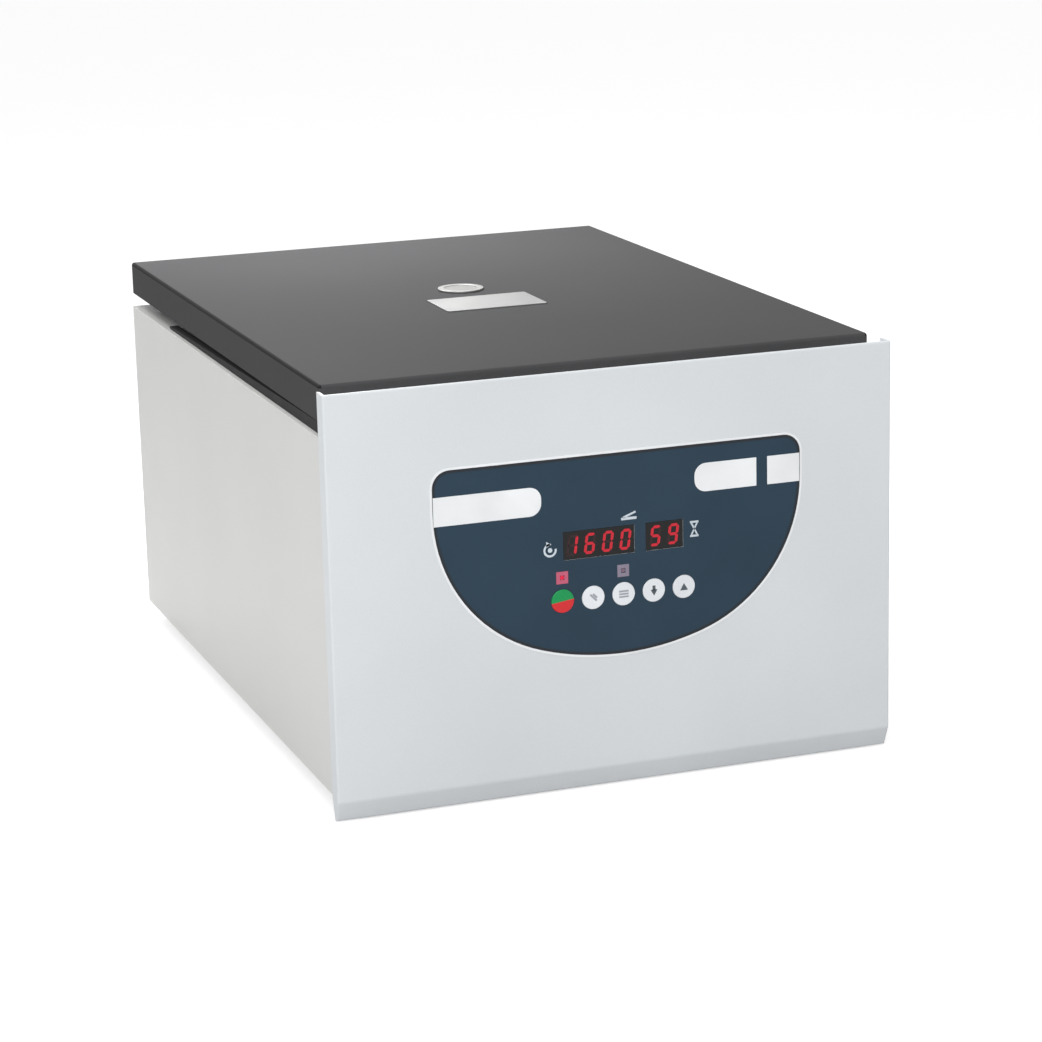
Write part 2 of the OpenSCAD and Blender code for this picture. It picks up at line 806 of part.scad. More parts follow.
// Cast caps that carry the two bearings
module motor_end_caps() {
    color([0.6, 0.61, 0.62]) on_axis() {
        translate([0, 0, motor_tube_z - lower_cap_t]) cylinder(r = motor_r, h = lower_cap_t);
        translate([0, 0, motor_tube_z - fixed_gap]) ring(cap_boss_r, bearing_r + fixed_gap,
            bearing_w + fixed_gap);
        difference() {
            union() {
                translate([0, 0, motor_tube_top]) cylinder(r = motor_r, h = upper_cap_t);
                translate([0, 0, upper_bearing_z]) cylinder(r = cap_boss_r, h = bearing_w + cut);
            }
            translate([0, 0, upper_bearing_z - cut])
                cylinder(r = bearing_r + fixed_gap, h = bearing_w + cut);
            translate([0, 0, motor_tube_top - cut])
                cylinder(r = shaft_r + 1, h = upper_cap_t + 2 * cut);
        }
    }
}

module stator() {
    color([0.3, 0.3, 0.32]) on_axis() translate([0, 0, core_z])
        ring(motor_r - motor_wall - fixed_gap, armature_r + air_gap, core_top - core_z);
}

// Copper end turns on both ends of the stator
module stator_windings() {
    color([0.72, 0.42, 0.2]) on_axis() for (z = [core_z - winding_t, core_top])
        translate([0, 0, z]) ring(motor_r - motor_wall - 4, armature_r + 4, winding_t);
}

module bearings() {
    color("silver") on_axis() for (z = [lower_bearing_z, upper_bearing_z])
        translate([0, 0, z]) ring(bearing_r, shaft_r + running_gap, bearing_w);
}

module motor_plate() {
    color("gainsboro") difference() {
        on_axis() translate([-motor_plate_half, -motor_plate_half, motor_plate_z])
            cube([2 * motor_plate_half, 2 * motor_plate_half, motor_plate_t]);
        on_axis() translate([0, 0, motor_plate_z - cut])
            cylinder(r = motor_r + 1, h = motor_plate_t + 2 * cut);
        motor_screw_places() translate([0, 0, motor_plate_z - cut])
            cylinder(r = m5_r + fixed_gap, h = motor_plate_t + 2 * cut);
        isolator_places() translate([0, 0, motor_plate_z - cut])
            cylinder(r = m5_r + fixed_gap, h = motor_plate_t + 2 * cut);
    }
}

// Rubber isolators with a screw hole in each end
module isolators() {
    depth = isolator_screw_len - pan_t;
    color([0.12, 0.12, 0.13]) isolator_places() difference() {
        translate([0, 0, pan_top]) cylinder(r = isolator_r, h = isolator_h);
        translate([0, 0, pan_top - cut]) cylinder(r = m5_r + fixed_gap, h = depth + 2 * cut);
        translate([0, 0, motor_plate_z - depth]) cylinder(r = m5_r + fixed_gap, h = depth + cut);
    }
}

// Screws of the feet, of the motor's flange and of both ends of the isolators
module m5_screws() {
    color("silver") {
        foot_places() translate([0, 0, foot_recess_h]) rotate([180, 0, 0])
            button_screw(m5_r, m5_head_r, m5_head_h, foot_h - foot_recess_h + pan_t + 3);
        motor_screw_places() translate([0, 0, motor_plate_top + motor_flange_t])
            button_screw(m5_r, m5_head_r, m5_head_h, motor_flange_t + motor_plate_t);
        isolator_places() {
            translate([0, 0, motor_plate_top])
                button_screw(m5_r, m5_head_r, m5_head_h, isolator_screw_len);
            translate([0, 0, foot_h]) rotate([180, 0, 0])
                button_screw(m5_r, m5_head_r, m5_head_h, isolator_screw_len);
        }
    }
}

// Hinge knuckle about the hinge axis, from x and w wide
module knuckle(x, w) {
    difference() {
        bar_x(x, hinge_y, hinge_z, hinge_r, w);
        bar_x(x - cut, hinge_y, hinge_z, hinge_pin_r + slide_gap, w + 2 * cut);
    }
}

// Leaves on the rear panel, each with two knuckles
module cabinet_hinge_leaves() {
    outer_w = (leaf_w - lid_knuckle_w) / 2 - knuckle_gap;
    plate_z = hinge_z - hinge_r - knuckle_gap - 0.6;
    color([0.3, 0.3, 0.31]) for (s = [-1, 1]) translate([s * hinge_x, 0, 0]) difference() {
        union() {
            block(-leaf_w / 2, leaf_w / 2, rear_y, rear_y + leaf_t, hinge_z - leaf_h, plate_z);
            for (x = [-leaf_w / 2, leaf_w / 2 - outer_w]) {
                block(x, x + outer_w, rear_y, rear_y + leaf_t, plate_z - cut, hinge_z);
                bar_x(x, hinge_y, hinge_z, hinge_r, outer_w);
            }
        }
        bar_x(-leaf_w / 2 - cut, hinge_y, hinge_z, hinge_pin_r + slide_gap, leaf_w + 2 * cut);
        for (x = [-leaf_screw_x, leaf_screw_x])
            bar_y(x, rear_y - cut, hinge_z - leaf_screw_drop, m4_r + fixed_gap, leaf_t + 2 * cut);
    }
}

module hinge_pins() {
    color("silver") for (s = [-1, 1])
        bar_x(s * hinge_x - leaf_w / 2, hinge_y, hinge_z, hinge_pin_r, leaf_w);
}

// Leaves inside the lid's rear skirt, each with one knuckle
module lid_hinge_leaves() {
    half = lid_knuckle_w / 2;
    wide_z = hinge_z + hinge_r + 1;
    color([0.3, 0.3, 0.31]) for (s = [-1, 1]) translate([s * hinge_x, 0, 0]) difference() {
        union() {
            block(-leaf_w / 2, leaf_w / 2, lid_rear_in - leaf_t, lid_rear_in, wide_z, lid_under - 3);
            block(-half, half, lid_rear_in - leaf_t, lid_rear_in, hinge_z, wide_z + cut);
            bar_x(-half, hinge_y, hinge_z, hinge_r, lid_knuckle_w);
        }
        bar_x(-half - cut, hinge_y, hinge_z, hinge_pin_r + slide_gap, lid_knuckle_w + 2 * cut);
    }
}

// Block under the deck that guides the lock's bolt and takes the lid's striker
module lock_housing() {
    color([0.2, 0.2, 0.22]) difference() {
        block(lock_left, lock_right, lock_y - slot_y - lock_wall, lock_y + slot_y + lock_wall,
            lock_z, deck_under);
        block(-slot_x, slot_x, lock_y - slot_y, lock_y + slot_y, striker_end - 3, deck_under + cut);
        bar_x(lock_left + 3, lock_y, bolt_z, bolt_r + slide_gap, lock_right - lock_left);
    }
}

// Sliding bolt, shown drawn back clear of the striker
module lock_bolt() {
    color("silver") bar_x(bolt_start, lock_y, bolt_z, bolt_r, bolt_len);
}

module lock_motor() {
    color([0.3, 0.3, 0.32]) block(lock_right, lock_right + lock_motor_len,
        lock_y - lock_motor_half_d, lock_y + lock_motor_half_d,
        bolt_z - lock_motor_half_h, bolt_z + lock_motor_half_h);
}

// Bracket that hangs from the lid and drops through the deck's slot
module lid_striker() {
    color("silver") difference() {
        union() {
            block(-striker_foot_w / 2, striker_foot_w / 2, lock_y - striker_w / 2,
                lock_y + striker_w / 2, lid_under - striker_t / 2, lid_under);
            block(-striker_t / 2, striker_t / 2, lock_y - striker_w / 2, lock_y + striker_w / 2,
                striker_end, lid_under);
        }
        bar_x(-striker_t, lock_y, bolt_z, bolt_r + 0.4, 2 * striker_t);
    }
}

// Thin printed film over the displays, keys and lamps
module control_overlay() {
    color([0.17, 0.25, 0.33]) difference() {
        sheet(overlay_front, overlay_t) overlay_outline();
        sheet(overlay_front - cut, overlay_t + 2 * cut) {
            display_windows(display_gap);
            control_holes();
        }
    }
}

// Two bare white fields on the overlay, the right one with a dark gap
module label_fields() {
    r = label_h * 0.42;
    half = overlay_half_w - label_inset;
    color([0.93, 0.94, 0.95]) sheet(overlay_front - label_t, label_t) {
        translate([0, overlay_top - label_left_drop]) polygon(concat(
            [[overlay_x - half, 0]], arc(label_left_end - r, r, r, -90, 0, 6),
            arc(label_left_end - r, label_h - r, r, 0, 90, 6), [[overlay_x - half, label_h]]));
        translate([0, overlay_top - label_right_drop]) {
            polygon(concat([[label_gap_start, 0], [label_gap_start, label_h]],
                arc(label_right_start + r, label_h - r, r, 90, 180, 6),
                arc(label_right_start + r, r, r, 180, 270, 6)));
            translate([label_gap_end, 0]) square([overlay_x + half - label_gap_end, label_h]);
        }
    }
}

module display_modules() {
    color([0.05, 0.05, 0.06]) sheet(display_face, display_t) display_windows(0);
}

// One lit bar of a digit, drawn about its own middle
function bar_points(len, turned) = [for (p = [[-len / 2, 0], [-len / 2 + segment_w / 2, segment_w / 2],
    [len / 2 - segment_w / 2, segment_w / 2], [len / 2, 0], [len / 2 - segment_w / 2, -segment_w / 2],
    [-len / 2 + segment_w / 2, -segment_w / 2]]) turned ? [p[1], p[0]] : p];

// Leans points over, as the digits lean to the right
function lean(points) = [for (p = points) [p[0] + p[1] * tan(digit_slant), p[1]]];

// Middle of each segment and whether it stands upright
function segment_place(s) =
    let (w = digit_w / 2 - segment_w / 2, h = digit_h / 2 - segment_w / 2)
    s == "a" ? [0, h, false] : s == "b" ? [w, h / 2, true] : s == "c" ? [w, -h / 2, true] :
    s == "d" ? [0, -h, false] : s == "e" ? [-w, -h / 2, true] : s == "f" ? [-w, h / 2, true] :
    [0, 0, false];

// One digit in the drawing plane
module digit(n) {
    for (s = LIT[n]) {
        place = segment_place(s);
        bar = place[2] ? (digit_h - segment_w) / 2 - segment_gap : digit_w - segment_w - segment_gap;
        polygon(lean([for (p = bar_points(bar, place[2])) [p[0] + place[0], p[1] + place[1]]]));
    }
}

// Lit segments, showing 1600 turns a minute and 59 minutes
module lit_digits() {
    color([0.9, 0.08, 0.15]) sheet(display_face - 0.15, 0.15) translate([0, display_z]) {
        for (i = [0:3]) translate([speed_x + (i - 1.5) * digit_pitch, 0]) digit([1, 6, 0, 0][i]);
        for (i = [0:1]) translate([time_x + (i - 0.5) * digit_pitch, 0]) digit([5, 9][i]);
    }
}

module indicator_lamps() {
    color([0.8, 0.1, 0.1]) for (x = lamp_x)
        bar_y(x, overlay_front + 0.2, lamp_z, lamp_r, board_y - overlay_front - 0.2);
}

module display_board() {
    color([0.1, 0.35, 0.2]) difference() {
        block(controls_x - board_half_w, controls_x + board_half_w, board_y, board_y + board_t,
            board_bottom, board_top);
        for (x = standoff_x, z = standoff_z)
            bar_y(x, board_y - cut, z, standoff_r / 2, board_t + 2 * cut);
    }
}

// Spacers behind the front panel and under the power board
module board_standoffs() {
    color("gold") {
        for (x = standoff_x, z = standoff_z)
            bar_y(x, panel_in, z, standoff_r, board_y - panel_in);
        for (x = [standoff_inset, power_board_w - standoff_inset],
            y = [standoff_inset, power_board_d - standoff_inset])
            translate([power_board_x + x, power_board_y + y, pan_top])
                cylinder(r = standoff_r, h = power_standoff);
    }
}

// Push switches on the display board, one behind each key
module key_switches() {
    color([0.15, 0.15, 0.16]) for (i = [-2:2])
        block(key_x(i) - switch_size / 2, key_x(i) + switch_size / 2,
            key_post_back + key_travel + switch_gap, board_y,
            key_z - switch_size / 2, key_z + switch_size / 2);
}

// Round key cap, with a flange behind the panel and a post for its switch
module key(i) {
    color([0.93, 0.93, 0.93]) {
        bar_y(key_x(i), front_y - key_proud, key_z, key_r, key_back - front_y + key_proud);
        bar_y(key_x(i), key_back - key_flange_t, key_z, key_r + key_flange, key_flange_t);
        bar_y(key_x(i), key_back - fixed_gap, key_z, key_post_r, key_post_back - key_back + fixed_gap);
    }
}

module start_stop_key() {
    key(-2);
}

module mode_key() {
    key(-1);
}

module set_key() {
    key(0);
}

module down_key() {
    key(1);
}

module up_key() {
    key(2);
}

module power_board() {
    color([0.1, 0.35, 0.2]) block(power_board_x, power_board_x + power_board_w, power_board_y,
        power_board_y + power_board_d, power_board_z, power_board_z + board_t);
}

// Capacitors, a choke and a finned heat sink on the power board
module board_parts() {
    top = power_board_z + board_t;
    sink_end = power_board_w - sink_inset;
    translate([power_board_x, power_board_y, top]) {
        color([0.15, 0.17, 0.3]) for (x = capacitor_x)
            translate([x, parts_y, 0]) cylinder(r = capacitor_r, h = capacitor_h);
        color([0.72, 0.42, 0.2]) translate([choke_x, parts_y, 0]) ring(choke_r, choke_r / 2, choke_h);
        color("silver") {
            block(sink_inset, sink_end, sink_y, sink_y + (fins - 1) * fin_pitch + fin_t, 0, sink_t);
            for (y = [for (i = [0:fins - 1]) sink_y + i * fin_pitch])
                block(sink_inset, sink_end, y, y + fin_t, sink_t / 2, sink_h);
        }
    }
}

module transformer() {
    y = power_board_y;
    limb = transformer_limb;
    half = transformer_w / 2;
    color([0.3, 0.3, 0.32]) difference() {
        block(transformer_x, transformer_x + transformer_w, y, y + transformer_d,
            pan_top, pan_top + transformer_h);
        for (x = [transformer_x + limb, transformer_x + half + limb / 2])
            block(x, x + half - 1.5 * limb, y - cut, y + transformer_recess, pan_top + limb,
                pan_top + transformer_h - limb);
    }
}

// Flat cable from the display board down to the power board
module ribbon_cable() {
    y0 = board_y + board_t;
    y1 = y0 + ribbon_bow;
    z0 = board_bottom + ribbon_rise;
    z1 = power_board_z + board_t + ribbon_t;
    y2 = power_board_y + ribbon_lap;
    color([0.6, 0.62, 0.66]) translate([ribbon_x - ribbon_w, 0, 0])
        rotate([90, 0, 90]) linear_extrude(ribbon_w)
            polygon([[y0, z0], [y0, z0 + ribbon_t], [y1 + ribbon_t, z0 + ribbon_t],
                [y1 + ribbon_t, z1], [y2, z1], [y2, z1 - ribbon_t], [y1, z1 - ribbon_t], [y1, z0]]);
}

// Mains inlet with three blades in an open cavity
module power_inlet() {
    back = rear_y - inlet_depth;
    face = rear_y + inlet_flange_t;
    color([0.08, 0.08, 0.09]) translate([inlet_x, 0, inlet_z]) difference() {
        union() {
            block(-inlet_w / 2, inlet_w / 2, back, rear_y + cut, -inlet_h / 2, inlet_h / 2);
            sheet(rear_y, inlet_flange_t)
                polygon(round_rect(inlet_flange_w, inlet_flange_h, inlet_corner, 6));
        }
        block(-inlet_cavity_w / 2, inlet_cavity_w / 2, face - inlet_cavity_d, face + cut,
            -inlet_cavity_h / 2, inlet_cavity_h / 2);
        for (s = [-1, 1]) bar_y(s * inlet_screw_x, rear_y - cut, 0, m4_r, inlet_flange_t + 2 * cut);
    }
    color("silver") translate([inlet_x, 0, inlet_z]) for (i = [-1:1]) {
        z = i == 0 ? inlet_pin_rise / 2 : -inlet_pin_rise / 2;
        x = i * inlet_pin_pitch;
        block(x - inlet_pin_t / 2, x + inlet_pin_t / 2, face - inlet_cavity_d - cut,
            face - inlet_pin_t, z - inlet_pin_w / 2, z + inlet_pin_w / 2);
    }
}

module switch_frame() {
    color([0.08, 0.08, 0.09]) translate([inlet_x, 0, switch_z]) difference() {
        union() {
            block(-switch_w / 2, switch_w / 2, rear_y - switch_depth, rear_y + cut,
                -switch_h / 2, switch_h / 2);
            sheet(rear_y, switch_flange) polygon(round_rect(switch_w + 2 * switch_flange,
                switch_h + 2 * switch_flange, switch_flange, 4));
        }
        block(-well_w / 2, well_w / 2, rear_y - well_depth, rear_y + switch_flange + cut,
            -well_h / 2, well_h / 2);
        bar_x(-well_w / 2 - rocker_pin_len - 0.2, rocker_y, 0, rocker_pin_r + slide_gap,
            well_w + 2 * rocker_pin_len + 0.4);
    }
}

// Rocker on its pivot, shown with its upper end pressed in
module power_rocker() {
    color([0.12, 0.12, 0.13]) translate([inlet_x, rocker_y, switch_z])
        rotate([rocker_swing / 2, 0, 0]) {
            translate([-rocker_w / 2, 0, 0]) rotate([90, 0, 90]) linear_extrude(rocker_w)
                polygon([[-rocker_back, -rocker_half_h], [rocker_end, -rocker_half_h],
                    [rocker_back, 0], [rocker_end, rocker_half_h], [-rocker_back, rocker_half_h]]);
            bar_x(-well_w / 2 - rocker_pin_len, 0, 0, rocker_pin_r, well_w + 2 * rocker_pin_len);
        }
}

// Shaft from the motor's lower bearing up to the rotor's nut
module drive_shaft() {
    collar_z = lower_dish_z - dish_t - collar_h;
    color([0.7, 0.7, 0.72]) on_axis() {
        translate([0, 0, shaft_bottom]) cylinder(r = shaft_r, h = shaft_top - shaft_bottom);
        translate([0, 0, collar_z]) cylinder(r = collar_r, h = collar_h);
    }
}

module armature() {
    color([0.45, 0.45, 0.47]) on_axis() translate([0, 0, core_z])
        ring(armature_r, shaft_r + fixed_gap, core_top - core_z);
}

// Barrel between the two dishes, flanged at both ends
module rotor_hub() {
    low = lower_dish_z;
    high = upper_dish_z - dish_t;
    color([0.6, 0.61, 0.62]) on_axis() difference() {
        union() {
            translate([0, 0, low]) cylinder(r = hub_flange_r, h = hub_flange_t);
            translate([0, 0, low]) cylinder(r = hub_r, h = high - low);
            translate([0, 0, high - hub_flange_t]) cylinder(r = hub_flange_r, h = hub_flange_t);
        }
        translate([0, 0, low - cut]) cylinder(r = shaft_r + fixed_gap, h = high - low + 2 * cut);
    }
}

// A dish with one flat side for each tube, square to that tube
module dish(face, flat_r, edge_r) {
    z = dish_flat_z(face, flat_r);
    h = (edge_r - flat_r) * tan(tilt);
    slope_t = dish_t / cos(tilt);
    under_r = flat_r + (slope_t - dish_t) / tan(tilt);
    corner = 1 / cos(180 / places);
    color([0.78, 0.79, 0.8]) difference() {
        on_axis() rotate([0, 0, 180 / places]) difference() {
            translate([0, 0, z - dish_t]) cylinder(r1 = under_r * corner,
                r2 = (under_r + (h + dish_t) / tan(tilt)) * corner, h = h + dish_t, $fn = places);
            translate([0, 0, z]) cylinder(r1 = flat_r * corner,
                r2 = (edge_r + cut / tan(tilt)) * corner, h = h + cut, $fn = places);
        }
        on_axis() translate([0, 0, z - dish_t - cut])
            cylinder(r = shaft_r + fixed_gap, h = dish_t + 2 * cut);
        each_place() at_mouth() translate([0, 0, -face - 4 * dish_t])
            cylinder(r = shield_hole_r, h = 8 * dish_t);
    }
}

module upper_dish() {
    dish(upper_face, upper_flat_r, upper_edge_r);
}

module lower_dish() {
    dish(lower_face, lower_flat_r, lower_edge_r);
}

// Sleeves for the tubes, each hung in the dishes by its rim
module tube_shields() {
    color([0.74, 0.75, 0.76]) each_place() at_mouth() difference() {
        union() {
            translate([0, 0, -shield_len]) cylinder(r = shield_r, h = shield_len);
            translate([0, 0, -rim_t]) cylinder(r = rim_r, h = rim_t);
        }
        translate([0, 0, -bore_len]) cylinder(r = shield_bore_r, h = bore_len + cut);
        translate([0, 0, -bore_len - cushion_t]) cylinder(r = cushion_seat_r, h = cushion_t + cut);
    }
}

module tube_cushions() {
    color([0.12, 0.12, 0.13]) each_place() at_mouth() translate([0, 0, -bore_len - cushion_t])
        cylinder(r = cushion_seat_r - fixed_gap, h = cushion_t - 0.2);
}

module rotor_nut() {
    color("silver") on_axis() translate([0, 0, upper_dish_z]) difference() {
        union() {
            cylinder(r = nut_af / 2 + 4, h = 2);
            cylinder(r = nut_af / sqrt(3), h = nut_h, $fn = 6);
        }
        translate([0, 0, -cut]) cylinder(r = shaft_r + fixed_gap, h = nut_h + 2 * cut);
    }
}

// Folded tray over the whole top, with a hole for the viewport
module lid_shell() {
    color([0.4, 0.4, 0.41]) difference() {
        block(-lid_half, lid_half, lid_front, lid_rear, skirt_z, lid_top);
        block(-lid_half + lid_t, lid_half - lid_t, lid_front + lid_t, lid_rear_in,
            skirt_z - cut, lid_under);
        on_axis() translate([0, 0, lid_under - cut])
            cylinder(r = sight_r + fixed_gap, h = lid_t + 2 * cut);
    }
}

// Inner cover over the bowl, with a wall down to the gasket
module lid_liner() {
    color([0.78, 0.79, 0.8]) on_axis() rotate_extrude() {
        translate([sight_r + fixed_gap, liner_plate_z]) square([liner_r - sight_r, liner_t]);
        translate([liner_r, liner_foot_z]) square([liner_t, lid_under - liner_foot_z]);
        translate([liner_r, liner_foot_z]) square([liner_foot_r - liner_r, liner_t]);
        translate([liner_r, lid_under - liner_t]) square([liner_flange_r - liner_r, liner_t]);
    }
}

module viewport_bezel() {
    ledge = 1.2;
    seat = lid_top + bezel_h - lens_t - lens_drop;
    color([0.78, 0.79, 0.8]) on_axis() rotate_extrude()
        polygon([[lens_r, liner_plate_z], [sight_r, liner_plate_z], [sight_r, lid_top],
            [bezel_r, lid_top], [bezel_r, lid_top + bezel_h], [lens_r, lid_top + bezel_h],
            [lens_r, seat], [lens_r - ledge, seat], [lens_r - ledge, seat - ledge],
            [lens_r, seat - ledge]]);
}

module viewport_lens() {
    color([0.6, 0.65, 0.7, 0.5]) on_axis() translate([0, 0, lid_top + bezel_h - lens_t - lens_drop])
        cylinder(r = lens_r - fixed_gap, h = lens_t);
}

// Bare plate on the lid's top
module lid_plate() {
    color("silver") translate([0, plate_y, lid_top]) linear_extrude(plate_t)
        polygon(round_rect(plate_w, plate_d, 2, 4));
}

front_panel();
left_side();
right_side();
deck();
rear_panel();
base_pan();
feet();
cabinet_screws();
panel_nuts();
bowl();
bowl_boot();
chamber_gasket();
motor_housing();
motor_end_caps();
stator();
stator_windings();
bearings();
motor_plate();
isolators();
m5_screws();
cabinet_hinge_leaves();
hinge_pins();
lock_housing();
lock_motor();
control_overlay();
label_fields();
display_modules();
lit_digits();
indicator_lamps();
display_board();
board_standoffs();
key_switches();
power_board();
board_parts();
transformer();
ribbon_cable();
power_inlet();
switch_frame();
power_rocker();
drive_shaft();
armature();
rotor_hub();
upper_dish();
lower_dish();
tube_shields();
tube_cushions();
rotor_nut();
lid_shell();
lid_liner();
viewport_bezel();
viewport_lens();
lid_plate();
lid_hinge_leaves();
lid_striker();
start_stop_key();
mode_key();
set_key();
down_key();
up_key();
lock_bolt();
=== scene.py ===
import json
import math

import bmesh
import bpy
from mathutils import Matrix, Vector

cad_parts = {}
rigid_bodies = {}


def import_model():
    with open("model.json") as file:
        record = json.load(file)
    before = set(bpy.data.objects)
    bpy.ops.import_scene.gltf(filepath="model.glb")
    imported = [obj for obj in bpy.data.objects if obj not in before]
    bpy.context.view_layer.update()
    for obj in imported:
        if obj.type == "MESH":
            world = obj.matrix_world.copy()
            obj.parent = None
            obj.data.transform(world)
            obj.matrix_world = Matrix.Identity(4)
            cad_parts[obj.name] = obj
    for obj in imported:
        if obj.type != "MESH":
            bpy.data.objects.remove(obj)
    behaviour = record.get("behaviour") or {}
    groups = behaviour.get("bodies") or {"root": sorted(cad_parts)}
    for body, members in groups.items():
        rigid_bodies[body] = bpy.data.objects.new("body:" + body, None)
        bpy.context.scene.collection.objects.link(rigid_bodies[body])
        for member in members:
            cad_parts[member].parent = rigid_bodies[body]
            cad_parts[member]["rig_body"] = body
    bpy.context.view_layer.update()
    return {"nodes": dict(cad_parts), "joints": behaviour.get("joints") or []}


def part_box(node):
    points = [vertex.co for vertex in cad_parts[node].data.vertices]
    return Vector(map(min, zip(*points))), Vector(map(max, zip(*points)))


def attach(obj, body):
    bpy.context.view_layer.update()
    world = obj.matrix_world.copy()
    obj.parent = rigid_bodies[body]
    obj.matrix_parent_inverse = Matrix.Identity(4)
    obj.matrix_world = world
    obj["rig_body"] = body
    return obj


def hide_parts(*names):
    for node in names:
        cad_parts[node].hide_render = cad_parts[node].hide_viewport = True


bl_info = {
    "name": "Bench centrifuge",
    "version": (1, 0, 0),
    "blender": (4, 5, 0),
    "location": "View3D > Sidebar > Centrifuge",
    "description": "Finishes and small shapes of a bench centrifuge round its fixed frame",
    "category": "Object",
}

for leftover in list(bpy.data.objects):
    bpy.data.objects.remove(leftover)
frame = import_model()

MM = 0.001
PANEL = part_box("front_panel")
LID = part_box("lid_shell")
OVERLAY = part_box("control_overlay")
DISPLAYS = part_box("display_modules")
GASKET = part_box("chamber_gasket")
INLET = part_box("power_inlet")
BOARD_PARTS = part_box("board_parts")
UPPER_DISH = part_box("upper_dish")
AXIS_Y = (GASKET[0].y + GASKET[1].y) / 2
SHARP = math.radians(28)
SMOOTH = math.radians(40)
FLAT = math.radians(0.5)
MERGE = 0.002 * MM
ALIGN = 0.1 * MM
QUARTER_TURN = math.pi / 2
FULL_TURN = 2 * math.pi
WHITE = (1.0, 1.0, 1.0, 1.0)


def srgb(red, green, blue):
    """Linear colour of an 8-bit display colour."""
    return tuple(
        value / 12.92 if value <= 0.04045 else ((value + 0.055) / 1.055) ** 2.4
        for value in (red / 255, green / 255, blue / 255)
    )


# Settings that a user would change


class CentrifugePaint(bpy.types.PropertyGroup):
    """Colours of the cabinet, the lid and the control panel."""

    panel: bpy.props.FloatVectorProperty(
        name="Front panel", description="Paint of the front panel", subtype="COLOR",
        default=srgb(218, 222, 225),
    )
    cabinet: bpy.props.FloatVectorProperty(
        name="Cabinet", description="Paint of the other cabinet sheets", subtype="COLOR",
        default=srgb(216, 216, 214),
    )
    lid: bpy.props.FloatVectorProperty(
        name="Lid", description="Paint of the lid", subtype="COLOR", default=srgb(76, 76, 77),
    )
    overlay: bpy.props.FloatVectorProperty(
        name="Overlay", description="Print on the control overlay", subtype="COLOR",
        default=srgb(42, 62, 78),
    )
    start: bpy.props.FloatVectorProperty(
        name="Start", description="Upper half of the start and stop key", subtype="COLOR",
        default=srgb(0, 150, 80),
    )
    stop: bpy.props.FloatVectorProperty(
        name="Stop", description="Lower half of the start and stop key", subtype="COLOR",
        default=srgb(215, 40, 45),
    )
    digits: bpy.props.FloatVectorProperty(
        name="Digits", description="Light of the lit segments", subtype="COLOR",
        default=srgb(205, 28, 48),
    )


class CentrifugeEdges(bpy.types.PropertyGroup):
    """Radii of bends and edges."""

    panel_bend: bpy.props.FloatProperty(
        name="Panel bend", description="Outer radius of the front panel's folds", unit="LENGTH",
        default=1.5 * MM, min=0.2 * MM, max=2.5 * MM,
    )
    lid_bend: bpy.props.FloatProperty(
        name="Lid bend", description="Outer radius of the lid's folds", unit="LENGTH",
        default=2.2 * MM, min=0.2 * MM, max=3.0 * MM,
    )
    sheet_edge: bpy.props.FloatProperty(
        name="Sheet edge", description="Rounding of painted sheet edges", unit="LENGTH",
        default=0.3 * MM, min=0.05 * MM, max=0.6 * MM,
    )
    fine_edge: bpy.props.FloatProperty(
        name="Fine edge", description="Rounding of small machined edges", unit="LENGTH",
        default=0.2 * MM, min=0.05 * MM, max=0.4 * MM,
    )
    rubber_edge: bpy.props.FloatProperty(
        name="Rubber edge", description="Rounding of rubber parts", unit="LENGTH",
        default=1.2 * MM, min=0.2 * MM, max=2.0 * MM,
    )
    gasket_edge: bpy.props.FloatProperty(
        name="Gasket edge", description="Rounding of the chamber gasket", unit="LENGTH",
        default=3.5 * MM, min=1.0 * MM, max=4.5 * MM,
    )
    key_edge: bpy.props.FloatProperty(
        name="Key edge", description="Rounding of the key caps", unit="LENGTH",
        default=0.45 * MM, min=0.1 * MM, max=0.6 * MM,
    )


class CentrifugePrint(bpy.types.PropertyGroup):
    """Sizes of what is printed on the overlay, the keys and the rotor."""

    edge_line: bpy.props.FloatProperty(
        name="Edge line", description="Width of the dark line round the overlay", unit="LENGTH",
        default=2.0 * MM, min=0.5 * MM, max=4.0 * MM,
    )
    rim: bpy.props.FloatProperty(
        name="Rim", description="Width of the pale rim outside that line", unit="LENGTH",
        default=1.6 * MM, min=0.5 * MM, max=4.0 * MM,
    )
    ink: bpy.props.FloatProperty(
        name="Ink", description="Thickness of a printed layer", unit="LENGTH",
        default=0.05 * MM, min=0.02 * MM, max=0.1 * MM,
    )
    mark: bpy.props.FloatProperty(
        name="Mark", description="Radius of the speed mark beside the displays", unit="LENGTH",
        default=4.0 * MM, min=2.0 * MM, max=5.0 * MM,
    )
    mark_line: bpy.props.FloatProperty(
        name="Mark line", description="Width of the lines of these marks", unit="LENGTH",
        default=1.4 * MM, min=0.3 * MM, max=2.0 * MM,
    )
    number: bpy.props.FloatProperty(
        name="Number", description="Height of the tube places' numbers", unit="LENGTH",
        default=6.5 * MM, min=3.0 * MM, max=8.0 * MM,
    )


